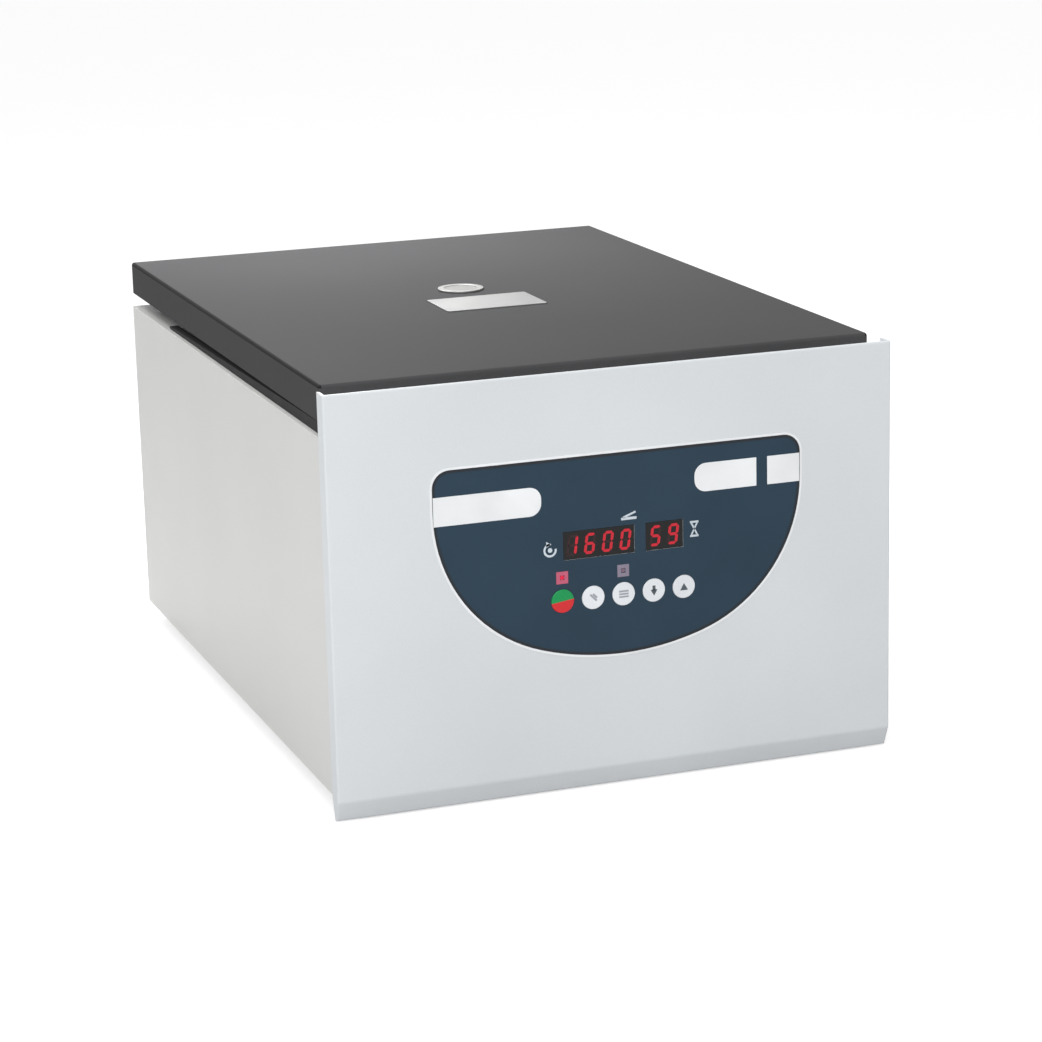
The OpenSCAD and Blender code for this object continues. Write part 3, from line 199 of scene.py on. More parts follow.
class CentrifugeStage(bpy.types.PropertyGroup):
    """Camera, lamps and floor."""

    camera_at: bpy.props.FloatVectorProperty(
        name="Camera", description="Place of the camera", subtype="TRANSLATION", unit="LENGTH",
        default=(-0.7399, -2.1622, 0.705),
    )
    yaw: bpy.props.FloatProperty(
        name="Yaw", description="Turn of the view from the front to the right", unit="ROTATION",
        default=math.radians(19.593),
    )
    pitch: bpy.props.FloatProperty(
        name="Pitch", description="Tilt of the view below the horizon", unit="ROTATION",
        default=math.radians(14.345),
    )
    roll: bpy.props.FloatProperty(
        name="Roll", description="Lean of the picture", unit="ROTATION", default=math.radians(-1.398),
    )
    lens: bpy.props.FloatProperty(
        name="Lens", description="Focal length on a 36 mm sensor", unit="CAMERA", default=109.09,
    )
    world: bpy.props.FloatProperty(
        name="World", description="Strength of the even light from all round", default=0.52,
    )
    floor: bpy.props.FloatVectorProperty(
        name="Floor", description="Colour of the floor", subtype="COLOR", default=srgb(206, 206, 206),
    )
    floor_glow: bpy.props.FloatProperty(
        name="Floor glow", description="What the camera adds to the floor to see it white", default=0.62,
    )


# Shared shader groups


def new_group(name, inputs, outputs):
    """An empty shader group with float inputs after its vector, and float outputs."""
    group = bpy.data.node_groups.new(name, "ShaderNodeTree")
    group.interface.new_socket(name="Vector", in_out="INPUT", socket_type="NodeSocketVector")
    for label, value in inputs.items():
        socket = group.interface.new_socket(name=label, in_out="INPUT", socket_type="NodeSocketFloat")
        socket.default_value = value
    for label in outputs:
        group.interface.new_socket(name=label, in_out="OUTPUT", socket_type="NodeSocketFloat")
    ends = group.nodes.new("NodeGroupInput"), group.nodes.new("NodeGroupOutput")
    return group, ends[0].outputs, ends[1].inputs


def node_in(group, kind, **settings):
    """A node with the given settings; those that name an input set its plain value."""
    node = group.nodes.new("ShaderNode" + kind)
    for key, value in settings.items():
        if hasattr(node, key):
            setattr(node, key, value)
        else:
            node.inputs[key.replace("_", " ").title()].default_value = value
    return node


def mix_patches(group, given, result, pattern, share, reach, detail=1.0):
    """Tone of a fine pattern over slow, soft patches, and the pattern's own height."""
    patches = node_in(group, "TexNoise", detail=detail, roughness=0.5)
    both = node_in(group, "Mix", data_type="FLOAT")
    both.inputs["Factor"].default_value = share
    spread = node_in(group, "MapRange")
    spread.inputs["From Min"].default_value = 0.5 - reach
    spread.inputs["From Max"].default_value = 0.5 + reach
    link = group.links.new
    link(given["Size"], pattern.inputs["Scale"])
    link(given["Vector"], patches.inputs["Vector"])
    link(given["Patches"], patches.inputs["Scale"])
    link(patches.outputs["Fac"], both.inputs["A"])
    link(pattern.outputs["Fac"], both.inputs["B"])
    link(both.outputs["Result"], spread.inputs["Value"])
    link(spread.outputs["Result"], result["Tone"])
    link(pattern.outputs["Fac"], result["Height"])


def grain_group():
    """Fine even grain over slow, soft patches, as on powder coat, plastic and rubber."""
    made = bpy.data.node_groups.get("surface_grain")
    if made:
        return made
    group, given, result = new_group("surface_grain", {"Size": 900.0, "Patches": 9.0}, ("Tone", "Height"))
    fine = node_in(group, "TexNoise", detail=3.0, roughness=0.55)
    group.links.new(given["Vector"], fine.inputs["Vector"])
    mix_patches(group, given, result, fine, 0.35, 0.14, 2.0)
    return group


def drawn_group():
    """Long fine lines along X, as brushing leaves on a metal plate."""
    made = bpy.data.node_groups.get("drawn_lines")
    if made:
        return made
    group, given, result = new_group("drawn_lines", {"Size": 2200.0, "Patches": 14.0}, ("Tone", "Height"))
    stretch = node_in(group, "VectorMath", operation="MULTIPLY")
    stretch.inputs[1].default_value = (0.02, 1.0, 1.0)
    lines = node_in(group, "TexNoise", detail=2.0, roughness=0.6)
    link = group.links.new
    link(given["Vector"], stretch.inputs[0])
    link(stretch.outputs["Vector"], lines.inputs["Vector"])
    mix_patches(group, given, result, lines, 0.6, 0.15)
    return group


def turned_group():
    """Fine rings round the Z axis, as a lathe or spinning leaves."""
    made = bpy.data.node_groups.get("turned_lines")
    if made:
        return made
    group, given, result = new_group("turned_lines", {"Size": 1500.0, "Patches": 20.0}, ("Tone", "Height"))
    split = node_in(group, "SeparateXYZ")
    flat = node_in(group, "CombineXYZ")
    radius = node_in(group, "VectorMath", operation="LENGTH")
    rings = node_in(group, "CombineXYZ")
    lines = node_in(group, "TexNoise", detail=2.0, roughness=0.65)
    link = group.links.new
    link(given["Vector"], split.inputs["Vector"])
    link(split.outputs["X"], flat.inputs["X"])
    link(split.outputs["Y"], flat.inputs["Y"])
    link(flat.outputs["Vector"], radius.inputs[0])
    link(radius.outputs["Value"], rings.inputs["X"])
    link(split.outputs["Z"], rings.inputs["Z"])
    link(rings.outputs["Vector"], lines.inputs["Vector"])
    mix_patches(group, given, result, lines, 0.65, 0.15)
    return group


def spangle_group():
    """Frosty crystal patches of zinc on sheet steel."""
    made = bpy.data.node_groups.get("zinc_spangle")
    if made:
        return made
    group, given, result = new_group("zinc_spangle", {"Size": 130.0, "Patches": 900.0}, ("Tone", "Height"))
    cells = node_in(group, "TexVoronoi", feature="F1")
    split = node_in(group, "SeparateColor")
    fine = node_in(group, "TexNoise", detail=2.0)
    link = group.links.new
    link(given["Vector"], cells.inputs["Vector"])
    link(given["Size"], cells.inputs["Scale"])
    link(cells.outputs["Color"], split.inputs["Color"])
    link(given["Vector"], fine.inputs["Vector"])
    link(given["Patches"], fine.inputs["Scale"])
    link(split.outputs["Red"], result["Tone"])
    link(fine.outputs["Fac"], result["Height"])
    return group


# Finishes


def new_finish(name, group, colours, roughness, relief, sizes=(), metallic=0.0, about=None, plain=None):
    """A material whose colour, roughness and relief follow a shared group's tone and height.

    colours and roughness each hold the values at tone 0 and 1, relief is the bump's strength,
    about is the point that the pattern is centred on, and plain sets further shader sockets.
    """
    material = bpy.data.materials.new(name)
    material.use_nodes = True
    tree = material.node_tree
    shader = tree.nodes["Principled BSDF"]
    place = node_in(tree, "TexCoord")
    centre = node_in(tree, "Mapping")
    centre.inputs["Location"].default_value = -Vector(about) if about else (0.0, 0.0, 0.0)
    effect = node_in(tree, "Group", node_tree=group)
    for label, value in zip(("Size", "Patches"), sizes):
        effect.inputs[label].default_value = value
    blend = node_in(tree, "Mix", data_type="RGBA")
    blend.inputs[6].default_value = (*colours[0], 1.0)
    blend.inputs[7].default_value = (*colours[1], 1.0)
    dull = node_in(tree, "MapRange")
    dull.inputs["To Min"].default_value = roughness[0]
    dull.inputs["To Max"].default_value = roughness[1]
    bump = node_in(tree, "Bump")
    bump.inputs["Strength"].default_value = relief
    bump.inputs["Distance"].default_value = 0.1 * MM
    link = tree.links.new
    link(place.outputs["Object"], centre.inputs["Vector"])
    link(centre.outputs["Vector"], effect.inputs["Vector"])
    link(effect.outputs["Tone"], blend.inputs["Factor"])
    link(blend.outputs[2], shader.inputs["Base Color"])
    link(effect.outputs["Tone"], dull.inputs["Value"])
    link(dull.outputs["Result"], shader.inputs["Roughness"])
    link(effect.outputs["Height"], bump.inputs["Height"])
    link(bump.outputs["Normal"], shader.inputs["Normal"])
    shader.inputs["Metallic"].default_value = metallic
    for label, value in (plain or {}).items():
        shader.inputs[label].default_value = value
    return material


def shade(colour, factor):
    """A colour made darker or lighter by a factor."""
    return tuple(min(1.0, value * factor) for value in colour)


def coat(name, colour, roughness=0.42, relief=0.25, spread=0.03, gloss=0.5):
    """Satin powder coat with a fine orange peel."""
    return new_finish(
        name, grain_group(), (shade(colour, 1 - spread), shade(colour, 1 + spread)),
        (roughness - 0.03, roughness + 0.04), relief, (850.0, 7.0),
        plain={"Specular IOR Level": gloss},
    )


def plastic(name, colour, roughness=0.45, relief=0.2):
    """Moulded plastic with a fine spark-eroded grain."""
    return new_finish(
        name, grain_group(), (shade(colour, 0.94), shade(colour, 1.06)),
        (roughness - 0.04, roughness + 0.05), relief, (2400.0, 30.0),
    )


def turned(name, colour, roughness=0.3, about=None, size=1500.0, relief=0.12):
    """Bare metal with rings from a lathe or from spinning."""
    return new_finish(
        name, turned_group(), (shade(colour, 0.86), shade(colour, 1.08)),
        (roughness - 0.06, roughness + 0.1), relief, (size, 16.0), 1.0, about,
    )


def panel_paint():
    """Cool pale grey of the front panel."""
    return coat("panel_paint", bpy.context.scene.centrifuge_paint.panel)


def cabinet_paint():
    """Warm pale grey of the other cabinet sheets."""
    return coat("cabinet_paint", bpy.context.scene.centrifuge_paint.cabinet)


def lid_paint():
    """Dark grey of the lid."""
    return coat("lid_paint", bpy.context.scene.centrifuge_paint.lid, 0.6, 0.3, 0.05, 0.01)


def lid_fold():
    """Darker line where the lid's sides are folded down, a painted dark reflection of the bend."""
    return coat("lid_fold", shade(bpy.context.scene.centrifuge_paint.lid, 0.3), 0.6, 0.3, 0.05, 0.03)


def motor_paint():
    """Dark enamel of the motor's housing."""
    return coat("motor_paint", srgb(52, 56, 60), 0.35, 0.4, 0.06)


def hinge_steel():
    """Black-oxide steel of the hinges."""
    return new_finish(
        "hinge_steel", grain_group(), (srgb(46, 46, 48), srgb(62, 62, 64)), (0.38, 0.5), 0.15,
        (1500.0, 60.0), 0.6,
    )


def lamination():
    """Varnished stack of electrical steel."""
    return new_finish(
        "lamination", turned_group(), (srgb(70, 70, 74), srgb(96, 96, 100)), (0.4, 0.55), 0.5,
        (1800.0, 16.0), 0.7, (0.0, AXIS_Y, 0.0),
    )


def zinc_sheet():
    """Galvanised sheet."""
    return new_finish(
        "zinc_sheet", spangle_group(), (srgb(176, 180, 183), srgb(205, 208, 210)), (0.34, 0.5), 0.08,
        (), 0.85,
    )


def screw_steel():
    """Bright zinc-plated steel of the fasteners."""
    return new_finish(
        "screw_steel", grain_group(), (srgb(188, 190, 192), srgb(212, 213, 214)), (0.24, 0.34), 0.08,
        (3000.0, 80.0), 1.0,
    )


def bearing_steel():
    """Ground steel of shaft, pins, bolt and bearings."""
    return turned("bearing_steel", srgb(205, 206, 208), 0.2, (0.0, AXIS_Y, 0.0), 3000.0)


def spun_steel():
    """Spun stainless steel of the bowl, the lid's liner and the rotor's dishes."""
    return turned("stainless", srgb(204, 206, 208), 0.3, (0.0, AXIS_Y, 0.0), 900.0)


def shield_steel():
    """Drawn stainless steel of the tube shields."""
    return new_finish(
        "shield_steel", grain_group(), (srgb(190, 192, 194), srgb(214, 215, 217)), (0.2, 0.34), 0.06,
        (1600.0, 50.0), 1.0,
    )


def cast_aluminium():
    """Machined castings."""
    return turned("cast_aluminium", srgb(186, 188, 190), 0.36, (0.0, AXIS_Y, 0.0), 1400.0, 0.2)


def brushed_plate():
    """Brushed bare aluminium of the plate on the lid."""
    return new_finish(
        "plate_aluminium", drawn_group(), (srgb(142, 142, 142), srgb(168, 168, 167)), (0.3, 0.44), 0.1,
        (), 0.9,
    )


def bezel_metal():
    """Turned aluminium of the viewport's bezel."""
    return turned("bezel_aluminium", srgb(160, 160, 158), 0.34, (0.0, AXIS_Y, 0.0), 2600.0, 0.1)


def copper():
    """Enamelled copper wire, wound round the axis."""
    return new_finish(
        "copper", turned_group(), (srgb(150, 84, 46), srgb(208, 130, 82)), (0.26, 0.4), 0.9,
        (1100.0, 40.0), 0.9, (0.0, AXIS_Y, 0.0),
    )


def brass():
    """Plain brass of the spacers."""
    return new_finish(
        "brass", grain_group(), (srgb(190, 158, 92), srgb(214, 184, 116)), (0.26, 0.36), 0.05,
        (2200.0, 60.0), 1.0,
    )


def rubber():
    """Black rubber with a slightly dusty bloom."""
    return new_finish(
        "rubber", grain_group(), (srgb(28, 28, 29), srgb(44, 44, 45)), (0.62, 0.8), 0.35, (1500.0, 40.0),
    )


def seal_foam():
    """Black foam under the lid's skirt; its black also serves as painted shadow in the gap there."""
    return plastic("seal_foam", srgb(12, 12, 13), 0.8, 0.4)


def black_plastic():
    """Black moulded plastic."""
    return plastic("black_plastic", srgb(30, 30, 32), 0.42)


def overlay_film():
    """Dark blue print under a finely textured polyester film."""
    colour = bpy.context.scene.centrifuge_paint.overlay
    return new_finish(
        "overlay_film", grain_group(), (shade(colour, 0.95), shade(colour, 1.06)), (0.36, 0.44), 0.14,
        (2600.0, 18.0), plain={"Specular IOR Level": 0.25},
    )


def edge_ink():
    """Near-black line round the overlay."""
    return plastic("edge_ink", srgb(24, 32, 40), 0.4, 0.1)


def white_print():
    """White print on the film."""
    return plastic("white_print", srgb(240, 242, 244), 0.4, 0.1)


def mark_ink():
    """Pale blue-grey ink of the small marks."""
    return plastic("mark_ink", srgb(204, 214, 222), 0.42, 0.1)


def symbol_ink():
    """Dark grey ink of the arrows on the keys."""
    return plastic("symbol_ink", srgb(84, 92, 100), 0.42, 0.1)


def pale_ink():
    """Pale grey ink of the other symbols on the keys."""
    return plastic("pale_ink", srgb(160, 164, 172), 0.42, 0.1)


def key_cap():
    """White cap of a key."""
    return plastic("key_plastic", srgb(232, 236, 240), 0.36, 0.1)


def start_stop_cap():
    """Cap of the start and stop key, green over red."""
    colours = bpy.context.scene.centrifuge_paint
    material = plastic("start_stop_plastic", colours.start, 0.36, 0.1)
    tree = material.node_tree
    low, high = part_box("start_stop_key")
    place = node_in(tree, "TexCoord")
    centre = node_in(tree, "Mapping", vector_type="TEXTURE")
    centre.inputs["Location"].default_value = (low + high) / 2
    centre.inputs["Rotation"].default_value = (0.0, math.radians(-8.0), 0.0)
    split = node_in(tree, "SeparateXYZ")
    upper = node_in(tree, "Math", operation="GREATER_THAN")
    upper.inputs[1].default_value = 0.0
    halves = node_in(tree, "Mix", data_type="RGBA")
    halves.inputs[6].default_value = (*colours.stop, 1.0)
    halves.inputs[7].default_value = (*colours.start, 1.0)
    link = tree.links.new
    link(place.outputs["Object"], centre.inputs["Vector"])
    link(centre.outputs["Vector"], split.inputs["Vector"])
    link(split.outputs["Z"], upper.inputs[0])
    link(upper.outputs["Value"], halves.inputs["Factor"])
    link(halves.outputs[2], tree.nodes["Principled BSDF"].inputs["Base Color"])
    return material


def glow(material, colour, strength):
    """Gives a material a light of its own."""
    shader = material.node_tree.nodes["Principled BSDF"]
    shader.inputs["Emission Color"].default_value = (*colour, 1.0)
    shader.inputs["Emission Strength"].default_value = strength
    return material


def display_black():
    """Black face of the display modules."""
    return plastic("display_black", srgb(16, 14, 15), 0.22, 0.04)


def lit_red():
    """Lit segments."""
    colour = bpy.context.scene.centrifuge_paint.digits
    return glow(plastic("lit_red", shade(colour, 0.1), 0.4, 0.04), colour, 0.85)


def unlit_red():
    """Segments that aren't lit, just seen on the black face."""
    return plastic("unlit_red", srgb(44, 18, 22), 0.35, 0.04)


def lamp_lit():
    """Red lamp, lit."""
    return glow(plastic("lamp_red", srgb(90, 10, 20), 0.25, 0.04), srgb(226, 20, 66), 0.9)


def lamp_off():
    """Mauve lens of the lamp that isn't lit."""
    return plastic("lamp_off", srgb(128, 104, 122), 0.25, 0.04)


def lit_window():
    """Pink film over the lit lamp, its pink a painted glow of the lamp's light."""
    return plastic("lit_window", srgb(196, 92, 118), 0.4, 0.04)


def unlit_window():
    """Mauve film over the lamp that isn't lit."""
    return plastic("unlit_window", srgb(140, 130, 148), 0.4, 0.04)


def circuit_board():
    """Green solder mask over fine tracks."""
    return new_finish(
        "circuit_board", drawn_group(), (srgb(22, 84, 48), srgb(44, 118, 70)), (0.3, 0.42), 0.5,
        (700.0, 260.0),
    )


def cable_grey():
    """Ribbed grey flat cable."""
    return new_finish(
        "cable_grey", drawn_group(), (srgb(138, 142, 150), srgb(166, 170, 178)), (0.45, 0.55), 0.6,
        (900.0, 60.0),
    )


def capacitor_sleeve():
    """Dark blue sleeve of the capacitors."""
    return plastic("capacitor_sleeve", srgb(34, 40, 78), 0.32, 0.06)


def frosted_lens():
    """Slightly frosted clear lens of the viewport."""
    return new_finish(
        "lens", grain_group(), (srgb(146, 146, 143), srgb(160, 160, 157)), (0.3, 0.4), 0.03,
        (900.0, 60.0), 0.0, None, {"IOR": 1.49, "Transmission Weight": 0.35},
    )


def finish(maker):
    """The material that a finish function makes, made once."""
    key = "made_by"
    for material in bpy.data.materials:
        if material.get(key) == maker.__name__:
            return material
    material = maker()
    material[key] = maker.__name__
    return material


# Modelling helpers


def select_none():
    """Deselects every object."""
    for other in list(bpy.context.selected_objects):
        other.select_set(False)


def only(piece):
    """Selects one object alone and makes it active."""
    select_none()
    piece.select_set(True)
    bpy.context.view_layer.objects.active = piece


def edit(piece, mode="EDGE"):
    """Opens a piece in edit mode with nothing selected and returns its edit mesh."""
    only(piece)
    bpy.ops.object.mode_set(mode="EDIT")
    bpy.ops.mesh.select_mode(type=mode)
    bpy.ops.mesh.select_all(action="DESELECT")
    return bmesh.from_edit_mesh(piece.data)


def done():
    """Back to object mode."""
    bpy.ops.object.mode_set(mode="OBJECT")


def pull(value):
    """Extrudes all of the piece in edit mode along a vector."""
    bpy.ops.mesh.select_all(action="SELECT")
    bpy.ops.mesh.extrude_region_move(TRANSFORM_OT_translate={"value": value})


def done_outward():
    """Turns all faces outward and goes back to object mode."""
    bpy.ops.mesh.select_all(action="SELECT")
    bpy.ops.mesh.normals_make_consistent(inside=False)
    done()


def copy_of(node, name):
    """A merged copy of a frame node, with its flat faces made whole."""
    piece = bpy.data.objects.new(name, frame["nodes"][node].data.copy())
    piece.data.materials.clear()
    bpy.context.scene.collection.objects.link(piece)
    only(piece)
    bpy.ops.mesh.customdata_custom_splitnormals_clear()
    edit(piece)
    bpy.ops.mesh.select_all(action="SELECT")
    bpy.ops.mesh.remove_doubles(threshold=MERGE)
    bpy.ops.mesh.dissolve_limited(angle_limit=FLAT)
    done()
    return piece


def is_sharp(edge):
    """True where two faces meet at a clear angle."""
    return len(edge.link_faces) == 2 and edge.calc_face_angle(0.0) > SHARP


def round_edges(piece, radius, wanted=is_sharp, segments=3):
    """Rounds the edges for which wanted(edge) is true."""
    mesh = edit(piece)
    mesh.normal_update()
    for edge in mesh.edges:
        if wanted(edge):
            edge.select_set(True)
    bmesh.update_edit_mesh(piece.data)
    if piece.data.total_edge_sel:
        bpy.ops.mesh.bevel(
            offset=radius, offset_type="OFFSET", segments=segments, profile=0.5, affect="EDGES",
            clamp_overlap=False, miter_outer="ARC",
        )
    done()


def polish(piece):
    """Smooth shading with flat faces kept flat."""
    only(piece)
    bpy.ops.object.shade_smooth_by_angle(angle=SMOOTH)
    bpy.ops.object.modifier_add(type="WEIGHTED_NORMAL")
    piece.modifiers[-1].keep_sharp = True
    bpy.ops.object.modifier_apply(modifier=piece.modifiers[-1].name)


def paint(piece, maker):
    """Gives a whole piece one finish."""
    piece.data.materials.clear()
    piece.data.materials.append(finish(maker))


def repaint(piece, maker, inside):
    """Gives a second finish to the faces whose centre passes the test."""
    piece.data.materials.append(finish(maker))
    index = len(piece.data.materials) - 1
    for face in piece.data.polygons:
        if inside(face.center):
            face.material_index = index


def body_of(node):
    """Name of the body that a frame node rides on."""
    return frame["nodes"][node]["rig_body"]


def stand_in(piece, node):
    """Lets a piece take a frame node's place."""
    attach(piece, body_of(node))
    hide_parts(node)
    return piece


def belongs(piece, node):
    """Lets a new piece ride with a frame node that stays."""
    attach(piece, body_of(node))
    return piece


def dressed(node, maker, radius, segments=3, wanted=is_sharp):
    """A rounded copy of a frame node in its finish."""
    piece = copy_of(node, node + "_rounded")
    round_edges(piece, radius, wanted, segments)
    polish(piece)
    paint(piece, maker)
    return stand_in(piece, node)


def coated(node, maker):
    """A frame node kept as it is, in its finish."""
    piece = frame["nodes"][node]
    paint(piece, maker)
    return piece


def joined(pieces, name):
    """One object out of several."""
    only(pieces[0])
    for piece in pieces[1:]:
        piece.select_set(True)
    bpy.ops.object.join()
    pieces[0].name = name
    pieces[0].data.name = name
    return pieces[0]


def start_quad(x, y, z, wide, deep):
    """A small flat face along X and Y at a place, ready to be extruded or spun."""
    select_none()
    bpy.ops.mesh.primitive_plane_add(size=1.0, location=(0.0, 0.0, 0.0))
    piece = bpy.context.active_object
    piece.data.transform(Matrix.Translation((x, y, z)) @ Matrix.Diagonal((wide, deep, 1.0, 1.0)))
    return piece


def ink_bar(x, z, length, width, turn, back, ink):
    """A printed bar about (x, z), turned from upright, on the face at depth back."""
    piece = start_quad(0.0, 0.0, -length / 2, width, ink)
    edit(piece, "FACE")
    pull((0.0, 0.0, length))
    done_outward()
    piece.data.transform(
        Matrix.Translation((x, back - ink / 2, z)) @ Matrix.Rotation(turn, 4, "Y")
    )
    return piece


def ink_arc(x, z, radius, width, start, sweep, back, ink, steps=24):
    """A printed arc about (x, z), from the angle start, measured from upright."""
    piece = start_quad(radius, 0.0, 0.0, width, ink)
    edit(piece, "FACE")
    bpy.ops.mesh.select_all(action="SELECT")
    bpy.ops.mesh.spin(steps=steps, angle=sweep, center=(0.0, 0.0, 0.0), axis=(0.0, 1.0, 0.0))
    if sweep > 0.999 * FULL_TURN:
        for face in bmesh.from_edit_mesh(piece.data).faces:
            face.select_set(all(abs(vertex.co.z) < 0.001 * MM for vertex in face.verts))
        bpy.ops.mesh.delete(type="FACE")
    bpy.ops.mesh.select_all(action="SELECT")
    bpy.ops.mesh.remove_doubles(threshold=0.001 * MM)
    done_outward()
    piece.data.transform(
        Matrix.Translation((x, back - ink / 2, z)) @ Matrix.Rotation(start - QUARTER_TURN, 4, "Y")
    )
    return piece


def outer_outline(node, name):
    """One flat face with the outer outline of a flat node's front."""
    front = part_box(node)[0].y
    piece = copy_of(node, name)
    mesh = edit(piece)

    def on_front(vertex):
        return abs(vertex.co.y - front) < 0.01 * MM

    rim = {
        edge for edge in mesh.edges
        if all(map(on_front, edge.verts)) and any(abs(face.normal.y) < 0.5 for face in edge.link_faces)
    }
    first = min(rim, key=lambda edge: edge.verts[0].co.x)
    outline, waiting = {first}, [first]
    while waiting:
        for vertex in waiting.pop().verts:
            for edge in vertex.link_edges:
                if edge in rim and edge not in outline:
                    outline.add(edge)
                    waiting.append(edge)
    for edge in mesh.edges:
        edge.select_set(edge not in outline)
    bmesh.update_edit_mesh(piece.data)
    bpy.ops.mesh.delete(type="EDGE_FACE")
    mesh = bmesh.from_edit_mesh(piece.data)
    for vertex in mesh.verts:
        vertex.select_set(not vertex.link_edges)
    bmesh.update_edit_mesh(piece.data)
    bpy.ops.mesh.select_mode(type="VERT")
    bpy.ops.mesh.delete(type="VERT")
    bpy.ops.mesh.select_all(action="SELECT")
    bpy.ops.mesh.edge_face_add()
    mesh = bmesh.from_edit_mesh(piece.data)
    mesh.normal_update()
    if next(iter(mesh.faces)).normal.y > 0:
        bpy.ops.mesh.flip_normals()
    done()
    return piece


def outline_band(node, name, width, outward, height):
    """A flat band that follows a flat node's outline, inside or outside it."""
    piece = outer_outline(node, name)
    edit(piece)
    bpy.ops.mesh.select_all(action="SELECT")
    bpy.ops.mesh.delete(type="ONLY_FACE")
    pull((0.0, -height, 0.0))
    done_outward()
    bpy.ops.object.modifier_add(type="SOLIDIFY")
    wall = piece.modifiers[-1]
    wall.thickness = width
    wall.offset = 1.0 if outward else -1.0
    wall.use_even_offset = True
    bpy.ops.object.modifier_apply(modifier=wall.name)
    return piece


# Operators, one for each piece or group of like pieces


class FrontPanel(bpy.types.Operator):
    """Front panel with rounded folds."""

    bl_idname = "centrifuge.front_panel"
    bl_label = "Front panel"

    def execute(self, context):
        edges = context.scene.centrifuge_edges
        low, high = PANEL
        piece = copy_of("front_panel", "front_panel_rounded")

        def is_fold(edge):
            """The bends up both sides and over the top, and those along the bevel at the foot."""
            ends = [vertex.co for vertex in edge.verts]
            ahead = any(face.normal.y < -0.5 for face in edge.link_faces)
            outside = all(abs(abs(end.x) - high.x) < ALIGN for end in ends)
            on_front = all(abs(end.y - low.y) < ALIGN for end in ends)
            level = abs(ends[0].z - ends[1].z) < ALIGN
            return ahead and (outside or on_front and level and edge.calc_length() > 100 * MM)

        round_edges(piece, edges.panel_bend, is_fold, 5)
        round_edges(piece, edges.fine_edge, is_sharp, 2)
        polish(piece)
        paint(piece, panel_paint)
        stand_in(piece, "front_panel")
        return {"FINISHED"}


class SidePanels(bpy.types.Operator):
    """Side panels and deck with softened sheet edges, and black foam strips under the lid's sides, also
    painted shadow in the gap there.
    """

    bl_idname = "centrifuge.side_panels"
    bl_label = "Sides and deck"

    def execute(self, context):
        radius = context.scene.centrifuge_edges.sheet_edge
        for node in ("left_side", "right_side", "deck"):
            dressed(node, cabinet_paint, radius)
        seal_strips_painted_shadow = joined([self.make_seal_strip_painted_shadow(side, radius) for side in (-1, 1)], "lid_seals")
        paint(seal_strips_painted_shadow, seal_foam)
        belongs(seal_strips_painted_shadow, "deck")
        return {"FINISHED"}

    def make_seal_strip_painted_shadow(self, side, radius):
        """A foam strip on the deck that the lid's skirt rests on, flatter towards the hinges; its black also
        serves as painted shadow filling the dark gap under the skirt, and the taper follows that shadow.
        """
        wide, play = 6.6 * MM, 0.3 * MM
        front, rear = LID[0].y + 2 * MM, LID[1].y - 120 * MM
        deck_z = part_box("deck")[1].z
        height = LID[0].z - deck_z - play
        x = side * (LID[1].x - play - wide / 2)
        seal_strip_painted_shadow = start_quad(x, (front + rear) / 2, deck_z, wide, rear - front)
        edit(seal_strip_painted_shadow, "FACE")
        pull((0.0, 0.0, height))
        # The rear is lowered so that the strip's black, partly painted shadow, fades towards the hinges.
        for vertex in bmesh.from_edit_mesh(seal_strip_painted_shadow.data).verts:
            vertex.select_set(vertex.co.y > 0 and vertex.co.z > deck_z + play)
        bpy.ops.transform.translate(value=(0.0, 0.0, -0.75 * height))
        done_outward()
        round_edges(seal_strip_painted_shadow, radius)
        polish(seal_strip_painted_shadow)
        return seal_strip_painted_shadow


class RearPanel(bpy.types.Operator):
    """Rear panel with its vent slots."""

    bl_idname = "centrifuge.rear_panel"
    bl_label = "Rear panel"

    def execute(self, context):
        dressed("rear_panel", cabinet_paint, context.scene.centrifuge_edges.sheet_edge)
        return {"FINISHED"}


class Underside(bpy.types.Operator):
    """Base pan and rubber feet."""

    bl_idname = "centrifuge.underside"
    bl_label = "Underside"

    def execute(self, context):
        edges = context.scene.centrifuge_edges
        dressed("base_pan", zinc_sheet, edges.sheet_edge)
        dressed("feet", rubber, edges.rubber_edge * 0.5)
        return {"FINISHED"}


class Fasteners(bpy.types.Operator):
    """Screws and nuts."""

    bl_idname = "centrifuge.fasteners"
    bl_label = "Fasteners"

    def execute(self, context):
        radius = context.scene.centrifuge_edges.fine_edge
        for node in ("cabinet_screws", "m5_screws", "panel_nuts"):
            dressed(node, screw_steel, radius, 2)
        return {"FINISHED"}


class Chamber(bpy.types.Operator):
    """Bowl, its boot and the gasket."""

    bl_idname = "centrifuge.chamber"
    bl_label = "Chamber"

    def execute(self, context):
        edges = context.scene.centrifuge_edges
        dressed("bowl", spun_steel, edges.fine_edge, 2)
        dressed("bowl_boot", rubber, edges.sheet_edge, 2)
        dressed("chamber_gasket", rubber, edges.gasket_edge, 5)
        return {"FINISHED"}


class Motor(bpy.types.Operator):
    """Motor, its plate and its isolators."""

    bl_idname = "centrifuge.motor"
    bl_label = "Motor"

    def execute(self, context):
        edges = context.scene.centrifuge_edges
        dressed("motor_housing", motor_paint, edges.sheet_edge)
        dressed("motor_end_caps", cast_aluminium, edges.sheet_edge)
        dressed("stator", lamination, edges.fine_edge)
        dressed("stator_windings", copper, edges.rubber_edge)
        dressed("bearings", bearing_steel, edges.sheet_edge)
        dressed("motor_plate", zinc_sheet, edges.sheet_edge)
        dressed("isolators", rubber, edges.rubber_edge * 0.6)
        return {"FINISHED"}


